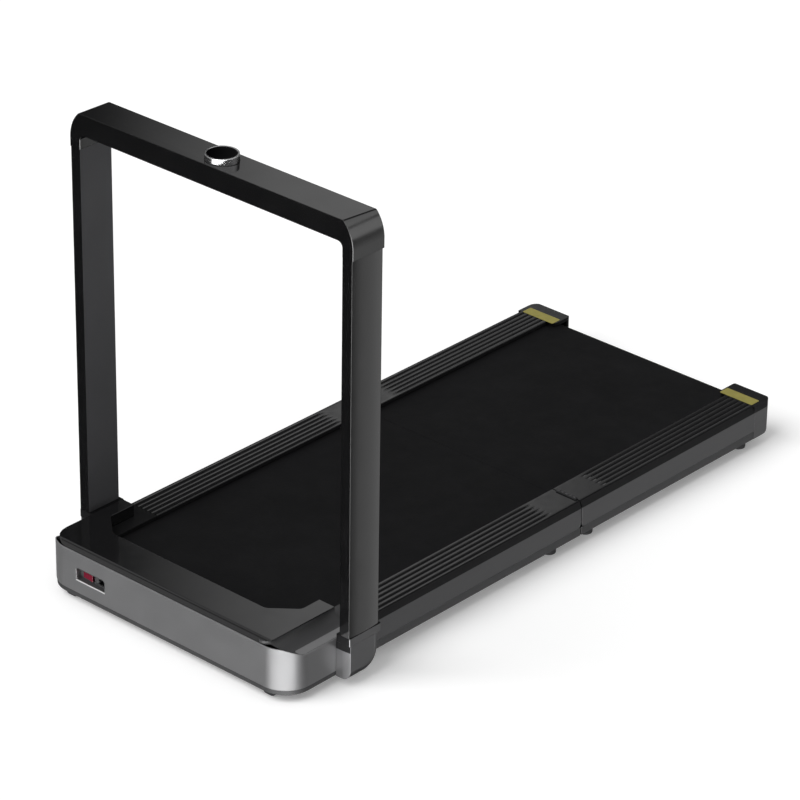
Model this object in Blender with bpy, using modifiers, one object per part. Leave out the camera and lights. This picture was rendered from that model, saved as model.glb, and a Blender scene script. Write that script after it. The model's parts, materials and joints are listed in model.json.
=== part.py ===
"""Folding treadmill: motor housing, two-part running deck and a U-shaped handrail with a dial.

X runs across, Y from the motor housing (front) to the rear rollers, Z up from the floor.
The origin is the middle of the footprint, on the floor.
"""
from math import acos, atan2, cos, hypot, pi, radians, sin

import bmesh
import bpy
from mathutils import Matrix, Vector

# Clearances, metres
FIT = 0.0003            # between pieces that touch
RUN = 0.0005            # between a shaft or button and what it moves in
SEAM = 0.003            # between the two deck halves

# Overall
LENGTH = 1.492
HEIGHT = 0.9805         # front edge of the handrail's top face
POD_SPAN = 0.736        # over the two pivot pods
BELT_SETBACK = 0.114    # pods' outer sides to the belt's edges

# Heights of the deck and what lines up with it
BELT_TOP = 0.091
RAIL_RISE = 0.010       # belt to the rails and the housing's side rims
TRAY_BOTTOM = 0.024
PAN_BOTTOM = 0.0175

# Motor housing: a silver band round a black hood, on a dark pan
HOUSING_DEPTH = 0.232
HOUSING_CORNER = 0.060
BAND_WALL = 0.0025
BAND_BOTTOM = 0.028
BAND_RISE = 0.017       # the front rim stands this much above the side rims
BAND_DIP_START = 0.012  # behind the front face, where the rim begins to fall to the sides
BAND_DIP_END = 0.047
PAN_WALL = 0.0025
PAN_INSET = 0.0015
HOOD_RISE = 0.0085      # above the front rim
HOOD_WALL = 0.0025
HOOD_CORNER = 0.020
HOOD_BEND = 0.016
HOOD_CHAMFER_RUN = 0.012
HOOD_THROAT = 0.093     # front face to the hood's inner edge over the belt
HOOD_ARM_END = 0.187
HOOD_ARM_WIDTH = 0.040
HOOD_LEFT_ARM_END = 0.203
HOOD_LEFT_ARM_WIDTH = 0.032
HOOD_LEFT_CORNER = 0.045
HOOD_CUT_X = 0.053      # the slanted inner corners
HOOD_CUT_Y = 0.045
LEDGE_WIDTH = 0.0527    # housing side to the hood, right
LEDGE_LEFT_WIDTH = 0.0177
LEDGE_DROP = 0.0005     # below the side rims
LEDGE_SHEET = 0.0025
LEDGE_RIB = 0.003
LEDGE_RIB_END = 0.005

# Recess with the mains switch and inlet, in the front face
RECESS_SETBACK = 0.1339 # housing's side to the recess's middle
RECESS_Z = 0.0708
RECESS_WIDTH = 0.080
RECESS_HEIGHT = 0.028
RECESS_CORNER = 0.006
RECESS_DEPTH = 0.0115
RECESS_PLATE = 0.0025
RECESS_WALL = 0.0015
ROCKER_MARGIN = 0.0099
ROCKER_LENGTH = 0.0278
ROCKER_HEIGHT = 0.0160
ROCKER_THICK = 0.0070
ROCKER_HOLLOW = 0.0008
ROCKER_TAPER = 0.0030
ROCKER_TILT = 6.0       # degrees to each side
INLET_MARGIN = 0.0005
INLET_WIDTH = 0.0270
INLET_HEIGHT = 0.0200
INLET_CORNER = 0.0030
INLET_DEPTH = 0.0220
INLET_WALL = 0.0018
INLET_FLOOR = 0.0040
BLADE_RECESS = 0.0060
BLADE_SPREAD = 0.0070   # centre to each power blade
BLADE_DROP = 0.0015
BLADE_RISE = 0.0035     # centre up to the earth blade
BLADE_WIDTH = 0.0020
BLADE_HEIGHT = 0.0040

# Deck
DECK_INSET = 0.0027     # the deck's sides lie this far inside the housing's
RAIL_SHELL = 0.0035
RAIL_OVERLAP = 0.0040   # the rails cover this much of the belt's edges
RAIL_LIP_CLEAR = 0.0015 # belt to the rails' and end caps' lips
RAIL_LIP = 0.0100
RAIL_SHOULDER = 0.0090  # width of the sloping outer strip
RAIL_EDGE = 0.0020
RAIL_FLAT = 0.0060      # inner edge to the first groove
RAIL_GROOVES = 5
GROOVE_WIDTH = 0.0060
GROOVE_SLOPE = 0.0015
GROOVE_DEPTH = 0.0012
RAIL_RIB_INSET = 0.0180
RAIL_RIB = 0.0030
BELT_THICK = 0.0016
BOARD_MARGIN = 0.0150   # the board stops this far inside the beams' outer sides
BOARD_THICK = 0.0149
SIDE_BAND_DROP = 0.0145 # rails' top to the side bands'
SIDE_BAND_BOTTOM = 0.0425
SIDE_BAND_WALL = 0.0025
TRAY_SHEET = 0.0015
TRAY_INSET = 0.0005
BEAM_INSET = 0.0150     # the beams' outer sides lie this far inside the deck's
BEAM_WIDTH = 0.030
BEAM_WALL = 0.0025
MEMBER_WIDTH = 0.040
MEMBER_CLEAR = 0.0032   # above the belt's lower run
MEMBER_FROM_FOLD = 0.010
MEMBER_BEHIND_ROLLER = 0.050
MEMBER_BEFORE_ROLLER = 0.080
MOTOR_PLATE = 0.0030
FOLD_SETBACK = 0.865    # front face to the fold line
BOARD_FROM_HINGE = 0.001

# Fold hinges
HINGE_LIFT = 0.0005     # fold axis above the rails
KNUCKLE_RADIUS = 0.0040
HINGE_PIN_RADIUS = 0.0016
HINGE_PIN_INSET = 0.0020
LEAF_BOTTOM = 0.0400
HINGE_WIDTH = 0.052

# Rollers, motor and drive
ROLLER_RADIUS = 0.0210
ROLLER_OVERHANG = 0.0010
ROLLER_WALL = 0.0025
ROLLER_PLUG = 0.0100    # thickness of the roller's closed ends
ROLLER_NECK = 0.0030
AXLE_RADIUS = 0.0060
ROLLER_BEHIND_THROAT = 0.012
REAR_ROLLER_END = 0.0160  # behind the belt, to the rear of the end caps
BOARD_FROM_ROLLER = 0.004
MOTOR_RADIUS = 0.0300
MOTOR_LENGTH = 0.150
MOTOR_GAP = 0.0051      # motor to the belt
MOTOR_LIFT = 0.0049     # motor above its plate
MOTOR_FOOT_LENGTH = 0.020
MOTOR_FOOT_WIDTH = 0.032
MOTOR_FOOT_INSET = 0.015
SHAFT_DEPTH = 0.0145
SHAFT_TIP = 0.0020
PULLEY_GAP = 0.0020
MOTOR_PULLEY_RADIUS = 0.0100
ROLLER_PULLEY_RADIUS = 0.0275
PULLEY_WIDTH = 0.0140
PULLEY_MARGIN = 0.0010
DRIVE_BELT_THICK = 0.0018
FLYWHEEL_RADIUS = 0.0260
FLYWHEEL_THICK = 0.0140
FLYWHEEL_GAP = 0.0060   # motor to the flywheel
FLYWHEEL_CLEAR = 0.0120 # flywheel to the motor's pulley

# Motor controller
CONTROLLER_END_X = 0.020
CONTROLLER_LENGTH = 0.150
CONTROLLER_SETBACK = 0.032
CONTROLLER_CLEAR = 0.003
CONTROLLER_THICK = 0.005
FIN_COUNT = 7
FIN_WALL = 0.003
FIN_HEIGHT = 0.024
FIN_MARGIN = 0.012
FIN_INSET = 0.008

# Rear end caps
CAP_LENGTH = 0.060
CAP_TIP = 0.0205        # how far the lip reaches inside the rail
CAP_CORNER = 0.024
CAP_TIP_CORNER = 0.010
CAP_TOP_CORNER = 0.005
CAP_LIP = 0.0135
CAP_COVER = 0.0540      # how far its top reaches over the belt, from the rear end
CAP_WALL = 0.0035
CAP_UNDER_RADIUS = 0.028
CAP_AXLE_ROOM = 0.002

# Feet and transport wheels
FOOT_RADIUS = 0.0150
FOOT_EDGE = 0.0015
FOOT_INSET = 0.030
FOOT_BEFORE_FOLD = 0.065
FOOT_AFTER_FOLD = 0.050
FOOT_BEFORE_END = 0.072
WHEEL_RADIUS = 0.0150
WHEEL_WIDTH = 0.0200
WHEEL_EDGE = 0.0020
WHEEL_INSET = 0.0627
WHEEL_SETBACK = 0.024
WHEEL_ROOM = 0.0020
WHEEL_PIN_RADIUS = 0.0035
CHEEK_WALL = 0.0020
CHEEK_REACH = 0.0080
PLATE_FROM_WHEEL = 0.0040

# Handrail
POST_SETBACK = 0.135
POST_DEPTH = 0.084
POST_WALL = 0.0025
POST_BEVEL = 0.0052
POST_SIDE_INSET = 0.0008
POST_STEP = 0.0087      # the posts' inner sides lie this far outside the pods'
BAR_HEIGHT = 0.0445
BAR_LEG = 0.031         # how far the crossbar's ends reach down the posts
BAR_SHELL = 0.0030
BAR_CORNER = 0.075
BAR_TOP_INSET = 0.0245  # ends of the flat top face, inside the outer sides
BAR_INNER_CORNER = 0.012
BAR_TOP_FALL = 0.0040   # front to rear
BAR_BACK = 0.0005       # behind the posts
BAR_EDGE = 0.0022
POD_WIDTH = 0.0347
POD_TOP = 0.0945
POD_LEDGE = 0.0045      # behind the posts
POD_ROUND = 0.0200      # rounding of the pods' outer lower edges
POD_UNDER_RADIUS = 0.044
POD_CAP = 0.0055        # thickness over the pin's end
COLLAR_HEIGHT = 0.017
PIVOT_RISE = 0.0600
PIVOT_RADIUS = 0.0100
PIN_END_GAP = 0.0005

# Dial
DIAL_RADIUS = 0.0330
DIAL_HEIGHT = 0.0150
DIAL_SHIFT = 0.0026     # in front of the posts' middle
DIAL_SEAT_ROOM = 0.0008
DIAL_COLUMN = 0.0100
DIAL_RIM = 0.0035
DIAL_TRAVEL = 0.0010
DIAL_FLANGE = 0.0020
DIAL_WEB = 0.0030
DIAL_EDGE = 0.0010
CAP_PROUD = 0.0005
CAP_SKIRT = 0.0060
CAP_SKIRT_WALL = 0.0020
CAP_TOP_WALL = 0.0025

# Worked out from the sizes above
FRONT = -LENGTH / 2
REAR = LENGTH / 2
POD_OUTER = POD_SPAN / 2
POD_INNER = POD_OUTER - POD_WIDTH
POD_DEPTH = POST_DEPTH + POD_LEDGE
HOUSING_HALF = POD_INNER - 2 * FIT
HOUSING_END = FRONT + HOUSING_DEPTH
BAND_SIDE_TOP = BELT_TOP + RAIL_RISE
BAND_FRONT_TOP = BAND_SIDE_TOP + BAND_RISE
HOOD_TOP = BAND_FRONT_TOP + HOOD_RISE
HOOD_RIGHT = HOUSING_HALF - LEDGE_WIDTH
HOOD_LEFT = HOUSING_HALF - LEDGE_LEFT_WIDTH
LEDGE_TOP = BAND_SIDE_TOP - LEDGE_DROP
LEDGE_BOTTOM = LEDGE_TOP - LEDGE_SHEET
RECESS_X = RECESS_SETBACK - HOUSING_HALF
ROCKER_X = RECESS_X - RECESS_WIDTH / 2 + RECESS_WALL + ROCKER_MARGIN + ROCKER_LENGTH / 2
INLET_X = RECESS_X + RECESS_WIDTH / 2 - RECESS_WALL - INLET_MARGIN - INLET_WIDTH / 2
BELT_WIDTH = POD_SPAN - 2 * BELT_SETBACK
RAIL_TOP = BELT_TOP + RAIL_RISE
RAIL_INNER = BELT_WIDTH / 2 - RAIL_OVERLAP
RAIL_START = HOUSING_END + SEAM
LIP_BOTTOM = BELT_TOP + RAIL_LIP_CLEAR
DECK_HALF = HOUSING_HALF - DECK_INSET
SIDE_BAND_TOP = RAIL_TOP - SIDE_BAND_DROP
BEAM_OUTER = DECK_HALF - BEAM_INSET
BEAM_INNER = BEAM_OUTER - BEAM_WIDTH
WEB_OUTER = BEAM_INNER + BEAM_WALL
BOARD_HALF = BEAM_OUTER - BOARD_MARGIN
BOARD_TOP = BELT_TOP - BELT_THICK - FIT
BOARD_BOTTOM = BOARD_TOP - BOARD_THICK
BEAM_TOP = BOARD_BOTTOM - FIT
BEAM_BOTTOM = TRAY_BOTTOM + TRAY_SHEET + FIT
FOLD_Y = FRONT + FOLD_SETBACK
FOLD_Z = RAIL_TOP + HINGE_LIFT
HINGE_X = BEAM_OUTER - HINGE_WIDTH / 2
LEAF_REACH = KNUCKLE_RADIUS - FIT
CAP_Y = REAR - CAP_LENGTH
BELT_INNER_RADIUS = ROLLER_RADIUS + FIT
BELT_OUTER_RADIUS = BELT_INNER_RADIUS + BELT_THICK
ROLLER_Z = BELT_TOP - BELT_OUTER_RADIUS
ROLLER_HALF = BELT_WIDTH / 2 + ROLLER_OVERHANG
FRONT_ROLLER_Y = FRONT + HOOD_THROAT + ROLLER_BEHIND_THROAT
REAR_ROLLER_Y = REAR - REAR_ROLLER_END - BELT_OUTER_RADIUS
MEMBER_BOTTOM = ROLLER_Z - BELT_INNER_RADIUS + MEMBER_CLEAR
PULLEY_X = ROLLER_HALF + PULLEY_GAP
PLATE_TOP = BEAM_BOTTOM + MOTOR_PLATE
MOTOR_Y = FRONT_ROLLER_Y - BELT_OUTER_RADIUS - MOTOR_GAP - MOTOR_RADIUS
MOTOR_Z = PLATE_TOP + FIT + MOTOR_LIFT + MOTOR_RADIUS
MOTOR_END_X = PULLEY_X - FLYWHEEL_CLEAR - FLYWHEEL_THICK - FLYWHEEL_GAP
FOOT_X = DECK_HALF - FOOT_INSET
WHEEL_X = HOUSING_HALF - WHEEL_INSET
WHEEL_Y = FRONT + WHEEL_SETBACK
POST_Y = FRONT + POST_SETBACK
POST_BACK = POST_Y + POST_DEPTH
POST_INNER = POD_INNER + POST_STEP
POST_OUTER = POD_OUTER - POST_SIDE_INSET
PIVOT_Y = POST_Y + POST_DEPTH / 2
COLLAR_TOP = POD_TOP + COLLAR_HEIGHT
BAR_BOTTOM = HEIGHT - BAR_HEIGHT
BAR_LEG_BOTTOM = BAR_BOTTOM - BAR_LEG
DIAL_Y = PIVOT_Y - DIAL_SHIFT
DIAL_SEAT = HEIGHT - BAR_TOP_FALL

# Colour, roughness and metallic value of each finish
FINISHES = {
    "silver_paint": ((0.155, 0.155, 0.158), 0.35, 0.7),
    "black_gloss": ((0.012, 0.012, 0.013), 0.18, 0.0),
    "black_satin": ((0.016, 0.016, 0.017), 0.42, 0.0),
    "dark_plastic": ((0.030, 0.030, 0.032), 0.50, 0.0),
    "grey_metal": ((0.080, 0.080, 0.083), 0.40, 0.7),
    "belt": ((0.013, 0.013, 0.014), 0.75, 0.0),
    "rubber": ((0.015, 0.015, 0.016), 0.80, 0.0),
    "steel": ((0.50, 0.50, 0.51), 0.28, 1.0),
    "black_steel": ((0.025, 0.025, 0.027), 0.45, 0.3),
    "board": ((0.10, 0.065, 0.04), 0.60, 0.0),
    "glass": ((0.004, 0.004, 0.005), 0.05, 0.0),
    "red": ((0.55, 0.05, 0.06), 0.30, 0.0),
    "circuit": ((0.02, 0.12, 0.05), 0.50, 0.0),
}


# Scene helpers

def clear_scene():
    for item in list(bpy.data.objects):
        bpy.data.objects.remove(item)
    for name in ("folding_treadmill", "cutters"):
        bpy.context.scene.collection.children.link(bpy.data.collections.new(name))


def finish_of(name):
    material = bpy.data.materials.get(name)
    if material is None:
        colour, roughness, metallic = FINISHES[name]
        material = bpy.data.materials.new(name)
        material.use_nodes = True
        shader = material.node_tree.nodes["Principled BSDF"]
        shader.inputs["Base Color"].default_value = (*colour, 1.0)
        shader.inputs["Roughness"].default_value = roughness
        shader.inputs["Metallic"].default_value = metallic
    return material


def place(name, mesh, finish):
    """A new object: a part in its finish, or a cutter when there is none."""
    item = bpy.data.objects.new(name, mesh)
    if finish:
        bpy.data.collections["folding_treadmill"].objects.link(item)
        mesh.materials.append(finish_of(finish))
        mesh.shade_smooth()
        mesh.set_sharp_from_angle(angle=radians(30))
    else:
        bpy.data.collections["cutters"].objects.link(item)
        item.hide_render = True
        item.display_type = "WIRE"
    return item


def from_bmesh(name, bm, finish):
    bmesh.ops.recalc_face_normals(bm, faces=bm.faces)
    mesh = bpy.data.meshes.new(name)
    bm.to_mesh(mesh)
    bm.free()
    return place(name, mesh, finish)


def box(name, low, high, finish=None):
    """A block between two opposite corners."""
    low, high = Vector(low), Vector(high)
    bm = bmesh.new()
    bmesh.ops.create_cube(bm, size=1.0)
    bmesh.ops.scale(bm, vec=high - low, verts=bm.verts)
    bmesh.ops.translate(bm, vec=(low + high) / 2, verts=bm.verts)
    return from_bmesh(name, bm, finish)


TURN = {
    "Z": Matrix(),
    "X": Matrix(((0, 0, 1, 0), (1, 0, 0, 0), (0, 1, 0, 0), (0, 0, 0, 1))),
    "Y": Matrix(((1, 0, 0, 0), (0, 0, -1, 0), (0, 1, 0, 0), (0, 0, 0, 1))),
}


def rod(name, axis, centre, radius, length, finish=None, sides=32):
    """A cylinder along an axis, about its own centre."""
    bm = bmesh.new()
    bmesh.ops.create_cone(bm, cap_ends=True, segments=sides, radius1=radius, radius2=radius, depth=length)
    bmesh.ops.transform(bm, matrix=Matrix.Translation(centre) @ TURN[axis], verts=bm.verts)
    return from_bmesh(name, bm, finish)


def rounded(corners, sides=5):
    """An outline whose corners (u, v, radius) are turned into arcs."""
    points = []
    count = len(corners)
    for i, (u, v, radius) in enumerate(corners):
        here = Vector((u, v))
        if radius <= 0:
            points.append(here)
            continue
        back = (Vector(corners[i - 1][:2]) - here).normalized()
        ahead = (Vector(corners[(i + 1) % count][:2]) - here).normalized()
        half = acos(max(-1.0, min(1.0, back.dot(ahead)))) / 2
        centre = here + (back + ahead).normalized() * (radius / sin(half))
        reach = radius / (sin(half) / cos(half))
        start = here + back * reach - centre
        sweep = (here + ahead * reach - centre).angle_signed(start)
        first = atan2(start.y, start.x)
        for k in range(sides + 1):
            angle = first + sweep * k / sides
            points.append(centre + radius * Vector((cos(angle), sin(angle))))
    return points


def plate(name, axis, low, high, loops, finish=None, soften=0.0):
    """Outlines in the plane across the axis, extruded between two stations along it.

    The plane is (Y, Z) for X, (X, Z) for Y and (X, Y) for Z. Later outlines are holes.
    Softened plates have their end edges rounded, inside the outline.
    """
    curve = bpy.data.curves.new(name, "CURVE")
    curve.dimensions = "2D"
    curve.fill_mode = "BOTH"
    curve.extrude = (high - low) / 2 - soften
    curve.bevel_depth = soften
    curve.bevel_resolution = 2
    curve.offset = -soften
    for loop in loops:
        spline = curve.splines.new("POLY")
        spline.points.add(len(loop) - 1)
        for point, (u, v) in zip(spline.points, loop):
            point.co = (u, v, 0, 1)
        spline.use_cyclic_u = True
    drawn = bpy.data.objects.new(name + "_drawn", curve)
    bpy.context.scene.collection.objects.link(drawn)
    shape = drawn.evaluated_get(bpy.context.evaluated_depsgraph_get())
    bm = bmesh.new()
    bm.from_mesh(bpy.data.meshes.new_from_object(shape))
    bpy.data.objects.remove(drawn)
    bmesh.ops.remove_doubles(bm, verts=bm.verts, dist=0.00001)
    bmesh.ops.dissolve_degenerate(bm, dist=0.00001, edges=bm.edges)
    bmesh.ops.dissolve_limit(bm, angle_limit=0.002, verts=bm.verts, edges=bm.edges)
    middle = (low + high) / 2
    shift = {"X": (middle, 0, 0), "Y": (0, middle, 0), "Z": (0, 0, middle)}[axis]
    bmesh.ops.transform(bm, matrix=Matrix.Translation(shift) @ TURN[axis], verts=bm.verts)
    return from_bmesh(name, bm, finish)


def turned(name, axis, centre, profile, finish, steps=40):
    """A closed profile of (radius, height) turned about an axis through the centre."""
    mesh = bpy.data.meshes.new(name)
    edges = [(i, (i + 1) % len(profile)) for i in range(len(profile))]
    if profile[0][0] == 0 and profile[-1][0] == 0:
        edges.pop()
    mesh.from_pydata([(radius, 0, height) for radius, height in profile], edges, [])
    item = bpy.data.objects.new(name, mesh)
    bpy.data.collections["folding_treadmill"].objects.link(item)
    mesh.materials.append(finish_of(finish))
    item.matrix_world = Matrix.Translation(centre) @ TURN[axis]
    screw = item.modifiers.new("Turn", "SCREW")
    screw.steps = screw.render_steps = steps
    screw.use_merge_vertices = True
    screw.merge_threshold = 0.00001
    screw.use_smooth_shade = True
    return item


def combine(item, other, operation):
    modifier = item.modifiers.new(operation.title(), "BOOLEAN")
    modifier.operation = operation
    modifier.solver = "EXACT"
    modifier.object = other
    return item


def cut(item, *cutters):
    for cutter in cutters:
        combine(item, cutter, "DIFFERENCE")
    return item


def join(item, *others):
    for other in others:
        combine(item, other, "UNION")
    return item


def bevel(item, width, segments=2, angle=30):
    modifier = item.modifiers.new("Bevel", "BEVEL")
    modifier.width = width
    modifier.segments = segments
    modifier.limit_method = "ANGLE"
    modifier.angle_limit = radians(angle)
    return item


def pivot(name, centre, *pieces):
    """An empty on a joint's axis that carries the pieces turning about it."""
    empty = bpy.data.objects.new(name, None)
    bpy.data.collections["folding_treadmill"].objects.link(empty)
    empty.location = centre
    for piece in pieces:
        piece.parent = empty
        piece.matrix_parent_inverse = Matrix.Translation(centre).inverted()
    return empty


def sides():
    """The two sides of the machine: +1 is the side with the motor."""
    return (("right", 1), ("left", -1))


def mirrored(loop, side):
    """An outline drawn for the right side, moved to the given side."""
    return [(side * u, v) for u, v in loop]


def across(side, inner, outer):
    """Stations along X on one side, low one first."""
    return sorted((side * inner, side * outer))


# Housing

def housing_outline(inset, end):
    """The housing's plan from the front round to the sides, with its rounded front corners."""
    half = HOUSING_HALF - inset
    front = FRONT + inset
    radius = HOUSING_CORNER - inset
    return rounded([(half, end, 0), (-half, end, 0), (-half, front, radius), (half, front, radius)], 10)


def recess_outline(inset, centre_x=RECESS_X, width=RECESS_WIDTH, height=RECESS_HEIGHT, corner=RECESS_CORNER):
    half_w, half_h = width / 2 - inset, height / 2 - inset
    radius = max(corner - inset, 0)
    low_x, high_x = centre_x - half_w, centre_x + half_w
    low_z, high_z = RECESS_Z - half_h, RECESS_Z + half_h
    return rounded([(low_x, low_z, radius), (high_x, low_z, radius),
                    (high_x, high_z, radius), (low_x, high_z, radius)], 4)


def make_bumper_band():
    end = HOUSING_END
    band = plate("bumper_band", "Z", BAND_BOTTOM, BAND_FRONT_TOP, [housing_outline(0, end)], "silver_paint")
    core = plate("band_core", "Z", BAND_BOTTOM - 0.01, BAND_FRONT_TOP + 0.01,
                 [housing_outline(BAND_WALL, end + 0.02)])
    above = BAND_FRONT_TOP + 0.02
    dip = plate("band_dip", "X", -POD_SPAN, POD_SPAN,
                [[(FRONT + BAND_DIP_START, BAND_FRONT_TOP), (FRONT + BAND_DIP_END, BAND_SIDE_TOP),
                  (end + 0.02, BAND_SIDE_TOP), (end + 0.02, above), (FRONT + BAND_DIP_START, above)]])
    window = plate("band_window", "Y", FRONT - 0.01, FRONT + BAND_WALL + 0.01, [recess_outline(0)])
    holes = [rod(f"band_pin_hole_{label}", "X", (side * HOUSING_HALF, PIVOT_Y, PIVOT_RISE),
                 PIVOT_RADIUS + RUN, 0.02) for label, side in sides()]
    return cut(band, core, dip, window, *holes)


def make_front_pan():
    """The dark tray under the band, with a slot and two cheeks for each transport wheel."""
    top = BAND_BOTTOM - FIT
    floor = PAN_BOTTOM + PAN_WALL
    pan = plate("front_pan", "Z", PAN_BOTTOM, top, [housing_outline(PAN_INSET, HOUSING_END)], "dark_plastic")
    cut(pan, plate("pan_inside", "Z", floor, top + 0.01,
                   [housing_outline(PAN_INSET + PAN_WALL, HOUSING_END + 0.02)]))
    half = WHEEL_WIDTH / 2 + RUN
    slot = WHEEL_RADIUS + WHEEL_ROOM
    for label, side in sides():
        x = side * WHEEL_X
        cut(pan, box(f"wheel_slot_{label}", (x - half, WHEEL_Y - slot, PAN_BOTTOM - 0.01),
                     (x + half, WHEEL_Y + slot, floor + 0.01)))
        for k, edge in enumerate((x - half - CHEEK_WALL, x + half)):
            join(pan, box(f"wheel_cheek_{label}_{k}",
                          (edge, WHEEL_Y - CHEEK_REACH, WHEEL_RADIUS - CHEEK_REACH),
                          (edge + CHEEK_WALL, WHEEL_Y + CHEEK_REACH, floor + CHEEK_WALL)))
        join(pan, rod(f"wheel_pin_{label}", "X", (x, WHEEL_Y, WHEEL_RADIUS), WHEEL_PIN_RADIUS,
                      2 * half + CHEEK_WALL, sides=16))
    return pan


def make_wheel(label, side):
    half, bore, edge = WHEEL_WIDTH / 2, WHEEL_PIN_RADIUS + FIT, WHEEL_EDGE
    profile = [(WHEEL_RADIUS - edge, half), (WHEEL_RADIUS, half - edge), (WHEEL_RADIUS, edge - half),
               (WHEEL_RADIUS - edge, -half), (bore, -half), (bore, half)]
    return turned(f"wheel_{label}", "X", (side * WHEEL_X, WHEEL_Y, WHEEL_RADIUS), profile, "rubber", 24)


def hood_outline(inset):
    """The hood's plan: a U round the front of the belt with slanted inner corners, wider to the left."""
    right, left = HOOD_RIGHT - inset, inset - HOOD_LEFT
    front = FRONT + BAND_WALL + FIT + inset
    throat = FRONT + HOOD_THROAT - inset
    right_end = FRONT + HOOD_ARM_END - inset
    left_end = FRONT + HOOD_LEFT_ARM_END - inset
    right_arm = HOOD_RIGHT - HOOD_ARM_WIDTH + inset
    left_arm = HOOD_LEFT_ARM_WIDTH - HOOD_LEFT - inset
    slant_y = throat + HOOD_CUT_Y
    bend = HOOD_BEND + inset
    return rounded([(right, right_end, 0), (right_arm, right_end, 0), (right_arm, slant_y, bend),
                    (right_arm - HOOD_CUT_X, throat, bend), (left_arm + HOOD_CUT_X, throat, bend),
                    (left_arm, slant_y, bend), (left_arm, left_end, 0), (left, left_end, 0),
                    (left, front, HOOD_LEFT_CORNER - inset), (right, front, HOOD_CORNER - inset)], 5)


def make_hood():
    hood = plate("hood", "Z", LEDGE_BOTTOM, HOOD_TOP, [hood_outline(0)], "black_gloss")
    inside = plate("hood_inside", "Z", LEDGE_BOTTOM - 0.01, HOOD_TOP - HOOD_WALL, [hood_outline(HOOD_WALL)])
    front = FRONT + BAND_WALL + FIT
    rise = HOOD_TOP + FIT - BAND_FRONT_TOP
    wedge = [(front - 0.001, 0), (front, 0), (front + HOOD_CHAMFER_RUN, rise), (front - 0.001, rise)]
    heights = (("hood_slope", BAND_FRONT_TOP), ("hood_slope_inside", BAND_FRONT_TOP - 1.3 * HOOD_WALL))
    slope, slope_inside = [plate(name, "X", -POD_SPAN, POD_SPAN, [[(y, z + base) for y, z in wedge]])
                           for name, base in heights]
    cut(inside, slope_inside)
    return cut(hood, inside, slope)


def make_ledge(label, side):
    """The low shelf beside the hood, with a rib standing on the chassis beam."""
    end = RAIL_START - FIT
    inner = RAIL_INNER
    radius = HOUSING_CORNER - BAND_WALL - FIT
    outer = HOUSING_HALF - BAND_WALL - FIT
    front = FRONT + BAND_WALL + FIT
    plan = rounded([(inner, front, 0), (outer, front, radius), (outer, end, 0), (inner, end, 0)], 10)
    ledge = plate(f"ledge_{label}", "Z", LEDGE_BOTTOM, LEDGE_TOP, [mirrored(plan, side)], "black_satin")
    low, high = across(side, BEAM_INNER + BEAM_WIDTH / 2, BEAM_INNER + BEAM_WIDTH / 2 + LEDGE_RIB)
    rib = box(f"ledge_rib_{label}", (low, FRONT + HOUSING_CORNER, BEAM_TOP + FIT),
              (high, end - LEDGE_RIB_END, LEDGE_BOTTOM + LEDGE_SHEET / 2))
    join(ledge, rib)
    return cut(ledge, plate(f"ledge_room_{label}", "Z", LEDGE_TOP - 0.02, LEDGE_TOP + 0.02, [hood_outline(-FIT)]))


def make_recess_bezel():
    front = FRONT + FIT
    back = FRONT + RECESS_DEPTH + RECESS_PLATE
    bezel = plate("recess_bezel", "Y", front, back, [recess_outline(FIT)], "black_satin")
    inside = plate("bezel_inside", "Y", front - 0.01, FRONT + RECESS_DEPTH, [recess_outline(RECESS_WALL)])
    switch_hole = box("switch_hole",
                      (ROCKER_X - ROCKER_LENGTH / 2 - 2 * RUN, FRONT, RECESS_Z - ROCKER_HEIGHT / 2 - RUN),
                      (ROCKER_X + ROCKER_LENGTH / 2 + 2 * RUN, back + 0.01, RECESS_Z + ROCKER_HEIGHT / 2 + RUN))
    inlet_hole = plate("inlet_hole", "Y", FRONT + RECESS_DEPTH - 0.001, back + 0.01, [inlet_outline(-FIT)])
    return cut(bezel, inside, switch_hole, inlet_hole)


def inlet_outline(inset):
    return recess_outline(inset, INLET_X, INLET_WIDTH, INLET_HEIGHT, INLET_CORNER)


def make_power_inlet():
    front = FRONT + RECESS_DEPTH
    body = plate("power_inlet", "Y", front, front + INLET_DEPTH, [inlet_outline(0)], "black_satin")
    floor = front + INLET_DEPTH - INLET_FLOOR
    cut(body, plate("inlet_pocket", "Y", front - 0.01, floor, [inlet_outline(INLET_WALL)]))
    tip = front + BLADE_RECESS
    blades = ((-BLADE_SPREAD, -BLADE_DROP), (BLADE_SPREAD, -BLADE_DROP), (0, BLADE_RISE))
    for k, (x, z) in enumerate(blades):
        low = (INLET_X + x - BLADE_WIDTH / 2, tip, RECESS_Z + z - BLADE_HEIGHT / 2)
        high = (INLET_X + x + BLADE_WIDTH / 2, floor + INLET_FLOOR / 2, RECESS_Z + z + BLADE_HEIGHT / 2)
        join(body, box(f"inlet_blade_{k}", low, high))
    return body


def make_switch_rocker():
    """A two-position rocker, drawn in its off position."""
    centre = (ROCKER_X, FRONT + RECESS_DEPTH, RECESS_Z)
    half, thick = ROCKER_LENGTH / 2, ROCKER_THICK / 2
    plan = [(-half, -thick), (0, ROCKER_HOLLOW - thick), (half, -thick),
            (half - ROCKER_TAPER, thick), (ROCKER_TAPER - half, thick)]
    rocker = plate("switch_rocker", "Z", -ROCKER_HEIGHT / 2, ROCKER_HEIGHT / 2, [plan], "red")
    rocker.matrix_world = Matrix.Translation(centre) @ Matrix.Rotation(-radians(ROCKER_TILT), 4, "Z")
    return rocker


# Chassis and drive

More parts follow.
